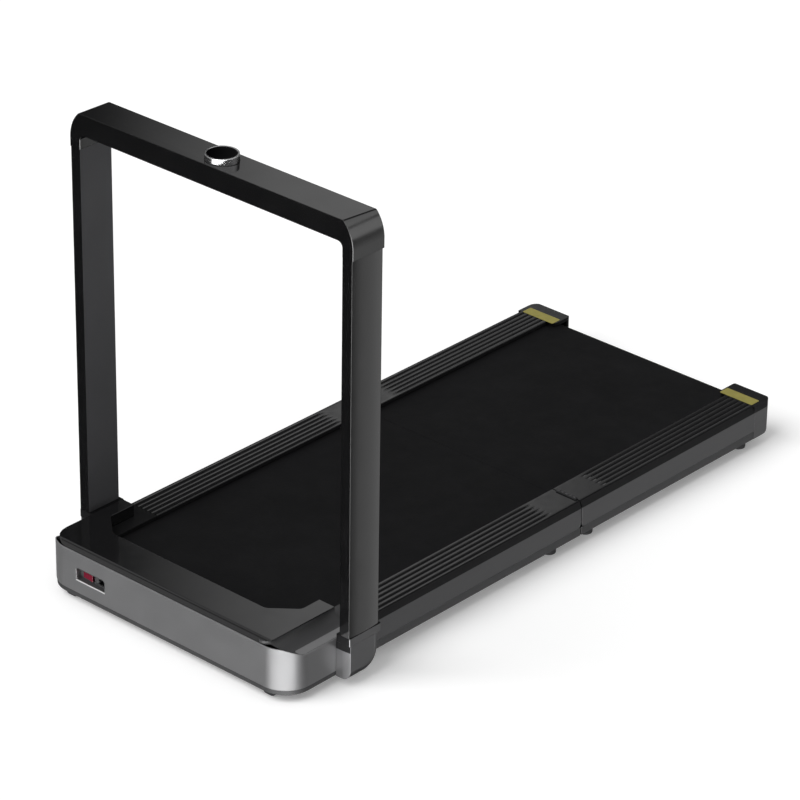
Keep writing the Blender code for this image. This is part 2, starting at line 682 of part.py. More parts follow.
def beam_outline(side):
    """A channel open to the outside, with its web towards the belt."""
    low, high, wall = BEAM_BOTTOM, BEAM_TOP, BEAM_WALL
    return mirrored([(BEAM_OUTER, low), (BEAM_INNER, low), (BEAM_INNER, high), (BEAM_OUTER, high),
                     (BEAM_OUTER, high - wall), (WEB_OUTER, high - wall), (WEB_OUTER, low + wall),
                     (BEAM_OUTER, low + wall)], side)


def member(name, y):
    """A cross member under the board: an inverted channel let into the beams' webs."""
    low, high, wall = MEMBER_BOTTOM, BEAM_TOP, BEAM_WALL
    section = [(y, low), (y, high), (y + MEMBER_WIDTH, high), (y + MEMBER_WIDTH, low),
               (y + MEMBER_WIDTH - wall, low), (y + MEMBER_WIDTH - wall, high - wall),
               (y + wall, high - wall), (y + wall, low)]
    reach = BEAM_INNER + BEAM_WALL / 2
    return plate(name, "X", -reach, reach, [section])


def ladder(name, start, end, stations):
    """Two side beams joined by cross members that start at the given stations."""
    frame = plate(name, "Y", start, end, [beam_outline(1)], "black_steel")
    members = [member(f"{name}_member_{k}", y) for k, y in enumerate(stations)]
    return join(frame, *members, plate(f"{name}_beam", "Y", start, end, [beam_outline(-1)]))


def make_chassis_front():
    """The front frame, with the motor's plate in front: narrow between the wheels, wide behind them."""
    start = FRONT + HOUSING_CORNER / 2
    end = FOLD_Y - LEAF_REACH - FIT
    first = FRONT_ROLLER_Y + MEMBER_BEHIND_ROLLER
    last = end - MEMBER_WIDTH - MEMBER_FROM_FOLD
    frame = ladder("chassis_front", start, end, (first, (first + last) / 2, last))
    reach = BEAM_INNER + BEAM_WALL / 2
    between_wheels = WHEEL_X - WHEEL_WIDTH / 2 - PLATE_FROM_WHEEL
    behind_wheels = WHEEL_Y + WHEEL_RADIUS + PLATE_FROM_WHEEL
    back = FRONT_ROLLER_Y - BELT_OUTER_RADIUS
    return join(frame, box("motor_plate", (-reach, behind_wheels, BEAM_BOTTOM), (reach, back, PLATE_TOP)),
                box("motor_plate_front", (-between_wheels, start, BEAM_BOTTOM),
                    (between_wheels, behind_wheels + 0.005, PLATE_TOP)))


def make_chassis_rear():
    start = FOLD_Y + LEAF_REACH + FIT
    end = REAR - CAP_UNDER_RADIUS - FIT
    first = start + MEMBER_FROM_FOLD
    last = REAR_ROLLER_Y - MEMBER_BEFORE_ROLLER
    return ladder("chassis_rear", start, end, (first, (first + last) / 2, last))


def pulley_loop(front, front_radius, back, back_radius, count=16):
    """The tight loop round two circles in the (Y, Z) plane."""
    (y1, z1), (y2, z2) = front, back
    lean = atan2(z2 - z1, y2 - y1)
    spread = acos((front_radius - back_radius) / hypot(y2 - y1, z2 - z1))
    points = []
    for k in range(count + 1):
        angle = lean + spread + (2 * pi - 2 * spread) * k / count
        points.append((y1 + front_radius * cos(angle), z1 + front_radius * sin(angle)))
    for k in range(count + 1):
        angle = lean - spread + 2 * spread * k / count
        points.append((y2 + back_radius * cos(angle), z2 + back_radius * sin(angle)))
    return points


def belt_outline(roller_y, end_y):
    """The running belt's section: a top run, the turn round a roller and a bottom run."""
    heading = 1 if end_y > roller_y else -1
    count = 16
    turn = [pi / 2 + pi * k / count for k in range(count + 1)]
    outer, inner = [
        [(end_y, ROLLER_Z + radius)]
        + [(roller_y + heading * radius * cos(a), ROLLER_Z + radius * sin(a)) for a in turn]
        + [(end_y, ROLLER_Z - radius)]
        for radius in (BELT_OUTER_RADIUS, BELT_INNER_RADIUS)]
    return outer + inner[::-1]


def make_belt(name, roller_y, end_y):
    half = BELT_WIDTH / 2
    return plate(name, "X", -half, half, [belt_outline(roller_y, end_y)], "belt")


def make_board(name, start, end):
    return box(name, (-BOARD_HALF, start, BOARD_BOTTOM), (BOARD_HALF, end, BOARD_TOP), "board")


def make_roller(name, y, pulley):
    """A steel tube with closed ends, bored for its axle; the front one carries a pulley."""
    half, bore = ROLLER_HALF, AXLE_RADIUS + FIT
    tube, plug = ROLLER_RADIUS - ROLLER_WALL, ROLLER_HALF - ROLLER_PLUG
    neck = ROLLER_RADIUS - ROLLER_NECK
    right = [(ROLLER_RADIUS, half)]
    if pulley:
        right = [(ROLLER_PULLEY_RADIUS, PULLEY_X + PULLEY_WIDTH), (ROLLER_PULLEY_RADIUS, PULLEY_X),
                 (neck, PULLEY_X), (neck, half), (ROLLER_RADIUS, half)]
    profile = right + [(ROLLER_RADIUS, -half), (bore, -half), (bore, -plug), (tube, -plug), (tube, plug),
                       (bore, plug), (bore, right[0][1])]
    return turned(name, "X", (0, y, ROLLER_Z), profile, "steel", 28)


def make_axle(name, y):
    return rod(name, "X", (0, y, ROLLER_Z), AXLE_RADIUS, 2 * (BEAM_INNER - FIT), "steel", 24)


def make_motor_body():
    start = MOTOR_END_X - MOTOR_LENGTH
    body = rod("motor_body", "X", ((start + MOTOR_END_X) / 2, MOTOR_Y, MOTOR_Z), MOTOR_RADIUS, MOTOR_LENGTH,
               "black_steel", 40)
    half = MOTOR_FOOT_WIDTH / 2
    feet = (start + MOTOR_FOOT_INSET, MOTOR_END_X - MOTOR_FOOT_INSET - MOTOR_FOOT_LENGTH)
    for k, x in enumerate(feet):
        join(body, box(f"motor_foot_{k}", (x, MOTOR_Y - half, PLATE_TOP + FIT),
                       (x + MOTOR_FOOT_LENGTH, MOTOR_Y + half, MOTOR_Z - MOTOR_RADIUS / 2)))
    return cut(body, rod("motor_bore", "X", (MOTOR_END_X, MOTOR_Y, MOTOR_Z), AXLE_RADIUS + FIT,
                         2 * (SHAFT_DEPTH + FIT), sides=24))


def make_motor_rotor():
    """The shaft where it leaves the motor, with its flywheel and pulley."""
    start = MOTOR_END_X - SHAFT_DEPTH
    wheel = MOTOR_END_X + FLYWHEEL_GAP
    tip = PULLEY_X + PULLEY_WIDTH
    profile = [(0, tip + SHAFT_TIP), (AXLE_RADIUS, tip + SHAFT_TIP), (AXLE_RADIUS, tip),
               (MOTOR_PULLEY_RADIUS, tip), (MOTOR_PULLEY_RADIUS, PULLEY_X), (AXLE_RADIUS, PULLEY_X),
               (AXLE_RADIUS, wheel + FLYWHEEL_THICK), (FLYWHEEL_RADIUS, wheel + FLYWHEEL_THICK),
               (FLYWHEEL_RADIUS, wheel), (AXLE_RADIUS, wheel), (AXLE_RADIUS, start), (0, start)]
    return turned("motor_rotor", "X", (0, MOTOR_Y, MOTOR_Z), profile, "steel", 28)


def make_drive_belt():
    motor, roller = (MOTOR_Y, MOTOR_Z), (FRONT_ROLLER_Y, ROLLER_Z)
    inner, outer = [pulley_loop(motor, MOTOR_PULLEY_RADIUS + gap, roller, ROLLER_PULLEY_RADIUS + gap)
                    for gap in (FIT, FIT + DRIVE_BELT_THICK)]
    return plate("drive_belt", "X", PULLEY_X + PULLEY_MARGIN, PULLEY_X + PULLEY_WIDTH - PULLEY_MARGIN,
                 [outer, inner], "rubber")


def make_controller():
    """The motor's control board with its row of cooling fins."""
    start, end = CONTROLLER_END_X - CONTROLLER_LENGTH, CONTROLLER_END_X
    front, back = FRONT + CONTROLLER_SETBACK, FRONT_ROLLER_Y - BELT_OUTER_RADIUS - CONTROLLER_CLEAR
    seat = PLATE_TOP + FIT
    top = seat + CONTROLLER_THICK
    board = box("controller", (start, front, seat), (end, back, top), "circuit")
    pitch = (CONTROLLER_LENGTH - 2 * FIN_MARGIN - FIN_WALL) / (FIN_COUNT - 1)
    for k in range(FIN_COUNT):
        x = start + FIN_MARGIN + pitch * k
        join(board, box(f"controller_fin_{k}", (x, front + FIN_INSET, top - CONTROLLER_THICK / 2),
                        (x + FIN_WALL, back - FIN_INSET, top + FIN_HEIGHT)))
    return board


# Deck covers

def rail_outline():
    """The right rail's section: an inner lip, grooves along the top and a sloping outer strip."""
    inner, outer = RAIL_INNER, DECK_HALF - FIT
    first, last = inner + RAIL_FLAT, outer - RAIL_SHOULDER
    pitch = (last - first) / RAIL_GROOVES
    points = [(inner, LIP_BOTTOM), (inner, RAIL_TOP - RAIL_EDGE), (inner + RAIL_EDGE, RAIL_TOP)]
    for k in range(RAIL_GROOVES):
        start = first + pitch * k
        end = start + GROOVE_WIDTH
        points += [(start, RAIL_TOP), (start + GROOVE_SLOPE, RAIL_TOP - GROOVE_DEPTH),
                   (end - GROOVE_SLOPE, RAIL_TOP - GROOVE_DEPTH), (end, RAIL_TOP)]
    foot = SIDE_BAND_TOP + FIT
    under = RAIL_TOP - RAIL_SHELL
    step = under - 0.0005
    rib = inner + RAIL_RIB_INSET
    return points + [(last, RAIL_TOP), (outer, foot + 0.001), (outer, foot), (outer - RAIL_SHELL, foot),
                     (last - 0.001, under), (rib + RAIL_RIB, under), (rib + RAIL_RIB, BOARD_TOP + FIT),
                     (rib, BOARD_TOP + FIT), (rib, step), (inner + RAIL_LIP, step),
                     (inner + RAIL_LIP, LIP_BOTTOM)]


def make_rail(name, side, start, end, fold_end):
    """A rail cover, notched at its fold end for the hinge."""
    rail = plate(name, "Y", start, end, [mirrored(rail_outline(), side)], "black_satin")
    x1, x2 = across(side, HINGE_X - HINGE_WIDTH / 2 - FIT, HINGE_X + HINGE_WIDTH / 2 + FIT)
    depth = KNUCKLE_RADIUS + FIT
    y1, y2 = sorted((fold_end, FOLD_Y + (depth if fold_end > FOLD_Y else -depth)))
    notch = box(f"{name}_notch", (x1, min(y1, FOLD_Y), BELT_TOP - 0.01), (x2, max(y2, FOLD_Y), RAIL_TOP + 0.01))
    return cut(rail, notch)


def side_band_outline(side):
    low, high, wall = SIDE_BAND_BOTTOM, SIDE_BAND_TOP, SIDE_BAND_WALL
    inner = BEAM_OUTER + FIT
    section = [(inner, high), (DECK_HALF, high), (DECK_HALF, low), (inner, low), (inner, low + wall),
               (DECK_HALF - wall, low + wall), (DECK_HALF - wall, high - wall), (inner, high - wall)]
    return mirrored(section, side)


def make_side_band(name, side, start, end):
    return plate(name, "Y", start, end, [side_band_outline(side)], "grey_metal")


def make_undertray(name, start, end):
    half = DECK_HALF - TRAY_INSET
    low, top, wall = TRAY_BOTTOM, SIDE_BAND_BOTTOM - FIT, TRAY_SHEET
    section = [(-half, low), (half, low), (half, top), (half - wall, top), (half - wall, low + wall),
               (wall - half, low + wall), (wall - half, top), (-half, top)]
    return plate(name, "Y", start, end, [section], "dark_plastic")


def make_end_cap(label, side):
    """The corner piece that closes a rail, with a lip round the back of the belt."""
    tip = RAIL_INNER - CAP_TIP
    belt_side = BELT_WIDTH / 2 + RAIL_LIP_CLEAR
    low, high = TRAY_BOTTOM, RAIL_TOP
    lip = REAR - CAP_LIP
    cover = REAR - CAP_COVER
    plan = rounded([(RAIL_INNER, CAP_Y, 0), (DECK_HALF, CAP_Y, 0), (DECK_HALF, REAR, CAP_CORNER),
                    (tip, REAR, CAP_TIP_CORNER), (tip, cover, 0.006), (RAIL_INNER, cover, 0)], 6)
    profile = rounded([(CAP_Y, low, 0), (REAR, low, CAP_UNDER_RADIUS), (REAR, high, CAP_TOP_CORNER),
                       (CAP_Y, high, 0)], 6)
    x1, x2 = across(side, tip, DECK_HALF)
    cap = plate(f"end_cap_{label}", "X", x1, x2, [profile], "black_satin")
    combine(cap, plate(f"cap_plan_{label}", "Z", 0, 2 * RAIL_TOP, [mirrored(plan, side)]), "INTERSECT")
    x1, x2 = across(side, tip - 0.01, belt_side)
    belt_room = box(f"cap_belt_room_{label}", (x1, CAP_Y - 0.01, 0), (x2, lip, LIP_BOTTOM))
    x1, x2 = across(side, belt_side + CAP_WALL, DECK_HALF - CAP_WALL)
    bend = REAR - CAP_UNDER_RADIUS
    lower = box(f"cap_hollow_{label}", (x1, CAP_Y - 0.01, BEAM_BOTTOM - FIT), (x2, bend, high - CAP_WALL))
    inset = 0.4 * CAP_CORNER
    x1, x2 = across(side, belt_side + CAP_WALL, DECK_HALF - inset)
    upper = box(f"cap_hollow_top_{label}", (x1, bend - 0.01, low + CAP_UNDER_RADIUS),
                (x2, REAR - inset, high - CAP_WALL))
    x1, x2 = across(side, belt_side - 0.001, belt_side + CAP_WALL + 0.001)
    room = AXLE_RADIUS + CAP_AXLE_ROOM
    axle_room = box(f"cap_axle_room_{label}", (x1, CAP_Y - 0.01, ROLLER_Z - room),
                    (x2, REAR_ROLLER_Y + room, ROLLER_Z + room))
    return cut(cap, belt_room, lower, upper, axle_room)


def knuckle_stations(side):
    """Start and end along X of the three knuckles of one hinge."""
    width = HINGE_WIDTH / 3
    first = HINGE_X - HINGE_WIDTH / 2
    return [across(side, first + width * k + FIT / 2, first + width * (k + 1) - FIT / 2) for k in range(3)]


def make_hinge_leaf(label, side, front):
    """Half a fold hinge. The front leaf has the outer knuckles and the pin, the rear leaf the middle one."""
    knuckles = knuckle_stations(side)
    own = (knuckles[0], knuckles[2]) if front else (knuckles[1],)
    others = (knuckles[1],) if front else (knuckles[0], knuckles[2])
    x1, x2 = across(side, HINGE_X - HINGE_WIDTH / 2, HINGE_X + HINGE_WIDTH / 2)
    near, far = SEAM / 2, LEAF_REACH
    y1, y2 = sorted((FOLD_Y - near, FOLD_Y - far)) if front else sorted((FOLD_Y + near, FOLD_Y + far))
    name = f"hinge_{'front' if front else 'rear'}_{label}"
    leaf = box(name, (x1, y1, LEAF_BOTTOM), (x2, y2, FOLD_Z), "black_steel")
    room = KNUCKLE_RADIUS + 2 * FIT
    for k, (low, high) in enumerate(others):
        cut(leaf, box(f"{name}_room_{k}", (low - FIT, FOLD_Y - 0.01, FOLD_Z - room),
                      (high + FIT, FOLD_Y + 0.01, FOLD_Z + 0.01)))
    for k, (low, high) in enumerate(own):
        join(leaf, rod(f"{name}_knuckle_{k}", "X", ((low + high) / 2, FOLD_Y, FOLD_Z), KNUCKLE_RADIUS,
                       high - low, sides=20))
    if front:
        join(leaf, rod(f"{name}_pin", "X", ((x1 + x2) / 2, FOLD_Y, FOLD_Z), HINGE_PIN_RADIUS,
                       HINGE_WIDTH - 2 * HINGE_PIN_INSET, sides=16))
    else:
        cut(leaf, rod(f"{name}_bore", "X", ((x1 + x2) / 2, FOLD_Y, FOLD_Z), HINGE_PIN_RADIUS + FIT,
                      HINGE_WIDTH, sides=16))
    return leaf


def make_foot(name, x, y):
    top = TRAY_BOTTOM - FIT
    profile = [(0, top), (FOOT_RADIUS, top), (FOOT_RADIUS, FOOT_EDGE), (FOOT_RADIUS - FOOT_EDGE, 0), (0, 0)]
    return turned(name, "Z", (x, y, 0), profile, "rubber", 28)


# Handrail

def post_outline(side, inset=0.0):
    """A post's section: flat front, small bevel, slightly bowed outer face, rounded back."""
    inner, outer = POST_INNER + inset, POST_OUTER - inset
    front, back = POST_Y + inset, POST_BACK - inset
    bevel_x = outer - POST_BEVEL
    return mirrored(rounded([(inner, front, 0.0008), (bevel_x, front, 0.0006),
                             (outer - 0.0006, front + 0.004, 0.002), (outer, front + POST_DEPTH * 0.55, 0.020),
                             (outer - 0.004, back, 0.006), (inner, back, 0.002)], 4), side)


def pod_plan(side):
    back = POST_Y + POD_DEPTH
    corners = [(POD_INNER, POST_Y, 0.001), (POD_OUTER, POST_Y, 0.002),
               (POD_OUTER, back, 0.004), (POD_INNER, back, 0.001)]
    return mirrored(rounded(corners, 3), side)


def make_pod(label, side):
    """The pod that turns on the pivot pin, round underneath so that it clears the floor."""
    x1, x2 = across(side, POD_INNER - 2 * POD_ROUND, POD_OUTER)
    over = 2 * POD_ROUND
    back = POST_Y + POD_DEPTH
    profile = rounded([(POST_Y - over, PAN_BOTTOM, 0), (back, PAN_BOTTOM, POD_UNDER_RADIUS),
                       (back, POD_TOP + over, 0), (POST_Y - over, POD_TOP + over, 0)], 10)
    pod = plate(f"pod_{label}", "X", x1, x2, [profile], "grey_metal", POD_ROUND)
    combine(pod, plate(f"pod_plan_{label}", "Z", 0, POD_TOP, [pod_plan(side)]), "INTERSECT")
    x1, x2 = across(side, POD_INNER - 0.01, POD_OUTER - POD_CAP)
    centre = ((x1 + x2) / 2, PIVOT_Y, PIVOT_RISE)
    return cut(pod, rod(f"pod_bore_{label}", "X", centre, PIVOT_RADIUS + FIT, x2 - x1))


def make_pivot_pin(label, side):
    x1, x2 = across(side, WEB_OUTER + FIT, POD_OUTER - POD_CAP - PIN_END_GAP)
    return rod(f"pivot_pin_{label}", "X", ((x1 + x2) / 2, PIVOT_Y, PIVOT_RISE), PIVOT_RADIUS, x2 - x1, "steel")


def make_collar(label, side):
    return plate(f"collar_{label}", "Z", POD_TOP + FIT, COLLAR_TOP, [pod_plan(side)], "black_satin")


def make_post(label, side):
    return plate(f"post_{label}", "Z", COLLAR_TOP + FIT, BAR_LEG_BOTTOM - FIT,
                 [post_outline(side), post_outline(side, POST_WALL)], "black_satin")


def bar_outline(inset, leg_bottom):
    """The crossbar from the front: an arch with large outer corners and short legs."""
    outer, inner = POD_OUTER - inset, POST_INNER - POST_SIDE_INSET + inset
    top, under = HEIGHT - inset, BAR_BOTTOM + inset
    radius = BAR_CORNER - inset
    sweep = acos(1 - BAR_TOP_INSET / BAR_CORNER)
    start = top - radius * sin(sweep)
    arc = [(outer - radius * (1 - cos(sweep * k / 8)), start + radius * sin(sweep * k / 8)) for k in range(9)]
    right = [(inner, leg_bottom), (outer, leg_bottom)] + arc
    left = [(-x, z) for x, z in reversed(right)]
    corner = max(BAR_INNER_CORNER + inset, 0.001)
    underside = [(-inner + corner * (1 - cos(a)), under - corner * (1 - sin(a)))
                 for a in (pi / 2 * k / 4 for k in range(5))]
    return right + left + underside + [(-x, z) for x, z in reversed(underside)]


def make_crossbar():
    front, back = POST_Y, POST_BACK + BAR_BACK
    bar = plate("crossbar", "Y", front, back, [bar_outline(0, BAR_LEG_BOTTOM)], "black_gloss")
    slope = BAR_TOP_FALL / (back - front)
    fall = plate("bar_fall", "X", -POD_SPAN, POD_SPAN,
                 [[(front - 0.01, HEIGHT + 0.01 * slope), (back + 0.01, HEIGHT - BAR_TOP_FALL - 0.01 * slope),
                   (back + 0.01, HEIGHT + 0.02), (front - 0.01, HEIGHT + 0.02)]])
    cut(bar, fall)
    bevel(bar, BAR_EDGE)
    deepest = BAR_SHELL + BAR_TOP_FALL
    hollow = plate("bar_hollow", "Y", front + BAR_SHELL, back - BAR_SHELL,
                   [bar_outline(deepest, BAR_LEG_BOTTOM - 0.01)])
    seat = rod("dial_seat", "Z", (0, DIAL_Y, DIAL_SEAT + 0.01), DIAL_RADIUS + DIAL_SEAT_ROOM, 0.02, sides=48)
    return cut(bar, hollow, seat)


def make_dial():
    """A turning ring round a fixed column, with a button top that presses inside the ring."""
    base = DIAL_SEAT + FIT
    web = base + DIAL_FLANGE + FIT
    top = HEIGHT - BAR_TOP_FALL / 2 + DIAL_HEIGHT
    bore = DIAL_COLUMN + FIT
    column_top = top - CAP_TOP_WALL - 2 * DIAL_TRAVEL
    foot = turned("dial_base", "Z", (0, DIAL_Y, 0),
                  [(0, column_top), (DIAL_COLUMN, column_top), (DIAL_COLUMN, base + DIAL_FLANGE),
                   (DIAL_RADIUS, base + DIAL_FLANGE), (DIAL_RADIUS, base), (0, base)], "black_satin", 40)
    cup = DIAL_RADIUS - DIAL_RIM
    ring = turned("dial_ring", "Z", (0, DIAL_Y, 0),
                  [(DIAL_RADIUS - DIAL_EDGE, top), (DIAL_RADIUS, top - DIAL_EDGE), (DIAL_RADIUS, web),
                   (bore, web), (bore, web + DIAL_WEB), (cup, web + DIAL_WEB), (cup, top)], "steel", 48)
    outer, face, skirt = cup - FIT, top + CAP_PROUD, top - CAP_SKIRT
    inner, under = outer - CAP_SKIRT_WALL, top - CAP_TOP_WALL
    cap = turned("dial_cap", "Z", (0, DIAL_Y, 0),
                 [(0, face), (outer - DIAL_EDGE, face), (outer, face - DIAL_EDGE), (outer, skirt),
                  (inner, skirt), (inner, under), (0, under)], "glass", 48)
    return foot, ring, cap


def build():
    clear_scene()
    make_bumper_band()
    make_front_pan()
    make_hood()
    make_recess_bezel()
    make_power_inlet()
    pivot("switch_pivot", (ROCKER_X, FRONT + RECESS_DEPTH, RECESS_Z), make_switch_rocker())
    make_chassis_front()
    make_motor_body()
    make_motor_rotor()
    make_drive_belt()
    make_controller()
    make_axle("front_axle", FRONT_ROLLER_Y)
    make_roller("front_roller", FRONT_ROLLER_Y, True)
    fold_front, fold_rear = FOLD_Y - SEAM / 2, FOLD_Y + SEAM / 2
    board_start = FRONT_ROLLER_Y + ROLLER_PULLEY_RADIUS + DRIVE_BELT_THICK + BOARD_FROM_ROLLER
    leaves = LEAF_REACH + BOARD_FROM_HINGE
    make_board("walking_board_front", board_start, FOLD_Y - leaves)
    make_belt("running_belt_front", FRONT_ROLLER_Y, fold_front)
    make_undertray("undertray_front", RAIL_START, fold_front)

    rear = [make_chassis_rear()]
    rear.append(make_board("walking_board_rear", FOLD_Y + leaves,
                           REAR_ROLLER_Y - BELT_OUTER_RADIUS - BOARD_FROM_ROLLER))
    rear.append(make_belt("running_belt_rear", REAR_ROLLER_Y, fold_rear))
    rear.append(make_undertray("undertray_rear", fold_rear, CAP_Y - FIT))
    rear.append(make_axle("rear_axle", REAR_ROLLER_Y))
    rear.append(make_roller("rear_roller", REAR_ROLLER_Y, False))
    handrail = [make_crossbar()]
    foot, ring, cap = make_dial()
    handrail.append(foot)
    pivot("dial_axis", (0, DIAL_Y, DIAL_SEAT), ring, cap)

    for label, side in sides():
        make_ledge(label, side)
        make_wheel(label, side)
        make_rail(f"rail_front_{label}", side, RAIL_START, fold_front, fold_front)
        make_side_band(f"side_band_front_{label}", side, RAIL_START, fold_front)
        make_hinge_leaf(label, side, True)
        make_foot(f"foot_front_{label}", side * FOOT_X, FOLD_Y - FOOT_BEFORE_FOLD)
        make_pivot_pin(label, side)
        rear.append(make_rail(f"rail_rear_{label}", side, fold_rear, CAP_Y - FIT, fold_rear))
        rear.append(make_side_band(f"side_band_rear_{label}", side, fold_rear, CAP_Y - FIT))
        rear.append(make_hinge_leaf(label, side, False))
        rear.append(make_foot(f"foot_fold_{label}", side * FOOT_X, FOLD_Y + FOOT_AFTER_FOLD))
        rear.append(make_foot(f"foot_rear_{label}", side * FOOT_X, REAR - FOOT_BEFORE_END))
        rear.append(make_end_cap(label, side))
        handrail += [make_pod(label, side), make_collar(label, side), make_post(label, side)]
    pivot("deck_pivot", (0, FOLD_Y, FOLD_Z), *rear)
    pivot("handrail_pivot", (0, PIVOT_Y, PIVOT_RISE), *handrail)


build()
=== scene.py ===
"""Looks of a folding treadmill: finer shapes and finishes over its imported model, a studio and a camera.

X runs across, Y from the motor housing to the rear rollers, Z up from the floor, in metres.
"""

import json
from math import acos, asin, atan2, cos, pi, radians, sin

import bmesh
import bpy
from mathutils import Matrix, Vector

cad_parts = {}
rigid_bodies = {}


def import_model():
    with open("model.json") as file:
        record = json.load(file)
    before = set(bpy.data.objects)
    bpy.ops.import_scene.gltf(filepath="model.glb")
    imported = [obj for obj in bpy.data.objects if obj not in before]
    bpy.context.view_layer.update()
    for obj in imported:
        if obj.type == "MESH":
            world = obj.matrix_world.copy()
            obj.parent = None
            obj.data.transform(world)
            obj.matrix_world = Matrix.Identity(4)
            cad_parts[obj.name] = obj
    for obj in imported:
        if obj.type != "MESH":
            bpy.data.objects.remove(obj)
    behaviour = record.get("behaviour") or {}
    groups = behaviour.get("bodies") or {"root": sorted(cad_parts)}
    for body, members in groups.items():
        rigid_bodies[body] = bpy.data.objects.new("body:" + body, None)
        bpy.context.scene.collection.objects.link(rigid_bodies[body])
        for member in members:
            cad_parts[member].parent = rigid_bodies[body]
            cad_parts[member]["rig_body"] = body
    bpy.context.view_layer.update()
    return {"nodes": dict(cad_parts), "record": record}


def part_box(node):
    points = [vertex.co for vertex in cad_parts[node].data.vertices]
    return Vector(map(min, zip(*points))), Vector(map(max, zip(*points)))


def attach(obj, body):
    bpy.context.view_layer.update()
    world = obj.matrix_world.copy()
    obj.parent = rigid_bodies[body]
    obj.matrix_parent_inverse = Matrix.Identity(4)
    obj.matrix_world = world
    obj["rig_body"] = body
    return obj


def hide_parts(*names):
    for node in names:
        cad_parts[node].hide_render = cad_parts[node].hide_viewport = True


bl_info = {
    "name": "Folding treadmill",
    "version": (1, 0, 0),
    "blender": (4, 5, 0),
    "location": "View3D > Sidebar > Treadmill",
    "description": "Shapes and finishes of a folding treadmill",
    "category": "Add Mesh",
}

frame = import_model()
MM = 0.001

# Main lines of the machine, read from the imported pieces
BAND_LOW, BAND_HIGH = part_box("bumper_band")
HOOD_LOW, HOOD_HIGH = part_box("hood")
RAIL_LOW, RAIL_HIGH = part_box("rail_front_right")
POST_LOW, POST_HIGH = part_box("post_right")
POD_LOW, POD_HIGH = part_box("pod_right")
BAR_LOW, BAR_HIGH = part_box("crossbar")
CAP_LOW, CAP_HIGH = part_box("end_cap_right")
RING_LOW, RING_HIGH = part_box("dial_ring")
GLASS_LOW, GLASS_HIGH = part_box("dial_cap")
DIAL_CENTRE = (RING_LOW + RING_HIGH) / 2
LEDGE_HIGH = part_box("ledge_right")[1]
FRONT = BAND_LOW.y
BELT_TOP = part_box("running_belt_front")[1].z
FOLD_Y = (RAIL_HIGH.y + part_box("rail_rear_right")[0].y) / 2
RAIL_TOP = RAIL_HIGH.z
RAIL_INNER, RAIL_OUTER = RAIL_LOW.x, RAIL_HIGH.x
SIDES = (("right", 1), ("left", -1))

WELD = 0.01 * MM        # vertices closer than this are one
CREASE = 32             # degrees between faces from which an edge stays crisp


def linear(code):
    """An sRGB hex colour as linear red, green and blue."""
    channels = [int(code[i:i + 2], 16) / 255 for i in (1, 3, 5)]
    return [c / 12.92 if c <= 0.04045 else ((c + 0.055) / 1.055) ** 2.4 for c in channels]


def length(name, description, default):
    return bpy.props.FloatProperty(name=name, description=description, default=default, unit="LENGTH",
                                   min=0.0, precision=5)


def colour(name, description, code):
    return bpy.props.FloatVectorProperty(name=name, description=description, default=linear(code),
                                         subtype="COLOR", min=0.0, max=1.0)


class TreadmillSizes(bpy.types.PropertyGroup):
    band_edge: length("Band edge", "Rounding of the silver band's rim", 0.8 * MM)
    hood_edge: length("Hood edge", "Rounding of the hood's top edge", 0.7 * MM)
    cover_edge: length("Cover edge", "Rounding of ledges, bands and trays", 0.6 * MM)
    groove_depth: length("Groove depth", "Depth of the grooves along the rails", 1.7 * MM)
    groove_width: length("Groove width", "Width of the grooves along the rails", 6.3 * MM)
    pad_length: length("Pad length", "Smooth stretch of the rails on each side of the fold", 75 * MM)
    fade_length: length("Fade length", "Stretch over which the grooves run out", 45 * MM)
    strip_thickness: length("Strip thickness", "Thickness of the yellow strips", 0.4 * MM)
    rim_width: length("Rim width", "Width of the silver rim on the right ledge", 21 * MM)


class TreadmillColours(bpy.types.PropertyGroup):
    band: colour("Band", "Silver-grey paint of the motor housing", "#7a7a7b")
    gloss: colour("Gloss black", "Polished hood and crossbar top", "#0c0c0d")
    satin: colour("Satin black", "Rails, end caps and the dial's base", "#0f0f10")
    tray: colour("Tray", "Dark trays below the bands, hinges and frame", "#222223")
    side: colour("Side bands", "Satin dark grey along the deck", "#545455")
    pod: colour("Pods", "Painted castings at the posts' feet", "#6a6a6b")
    post: colour("Posts", "Powder coat of the posts and crossbar", "#0a0a0b")
    belt: colour("Belt", "Running belt", "#101011")
    rubber: colour("Rubber", "Feet, wheels and drive belt", "#19191a")
    steel: colour("Steel", "Turned and plated steel", "#c9c9ca")
    switch: colour("Switch", "Mains rocker", "#8a2038")
    strip: colour("Strip", "Plain strips at the rails' rear ends", "#8d8540")
    board: colour("Board", "Walking boards", "#7d5f43")
    circuit: colour("Circuit", "Motor controller", "#1c6a3c")


# Materials

def add(tree, kind, inputs=None, **settings):
    """One node with its settings. An input takes a value, or the socket of another node."""
    node = tree.nodes.new("ShaderNode" + kind)
    for name, value in settings.items():
        setattr(node, name, value)
    for name, value in (inputs or {}).items():
        if isinstance(value, bpy.types.NodeSocket):
            tree.links.new(value, node.inputs[name])
        else:
            node.inputs[name].default_value = value
    return node


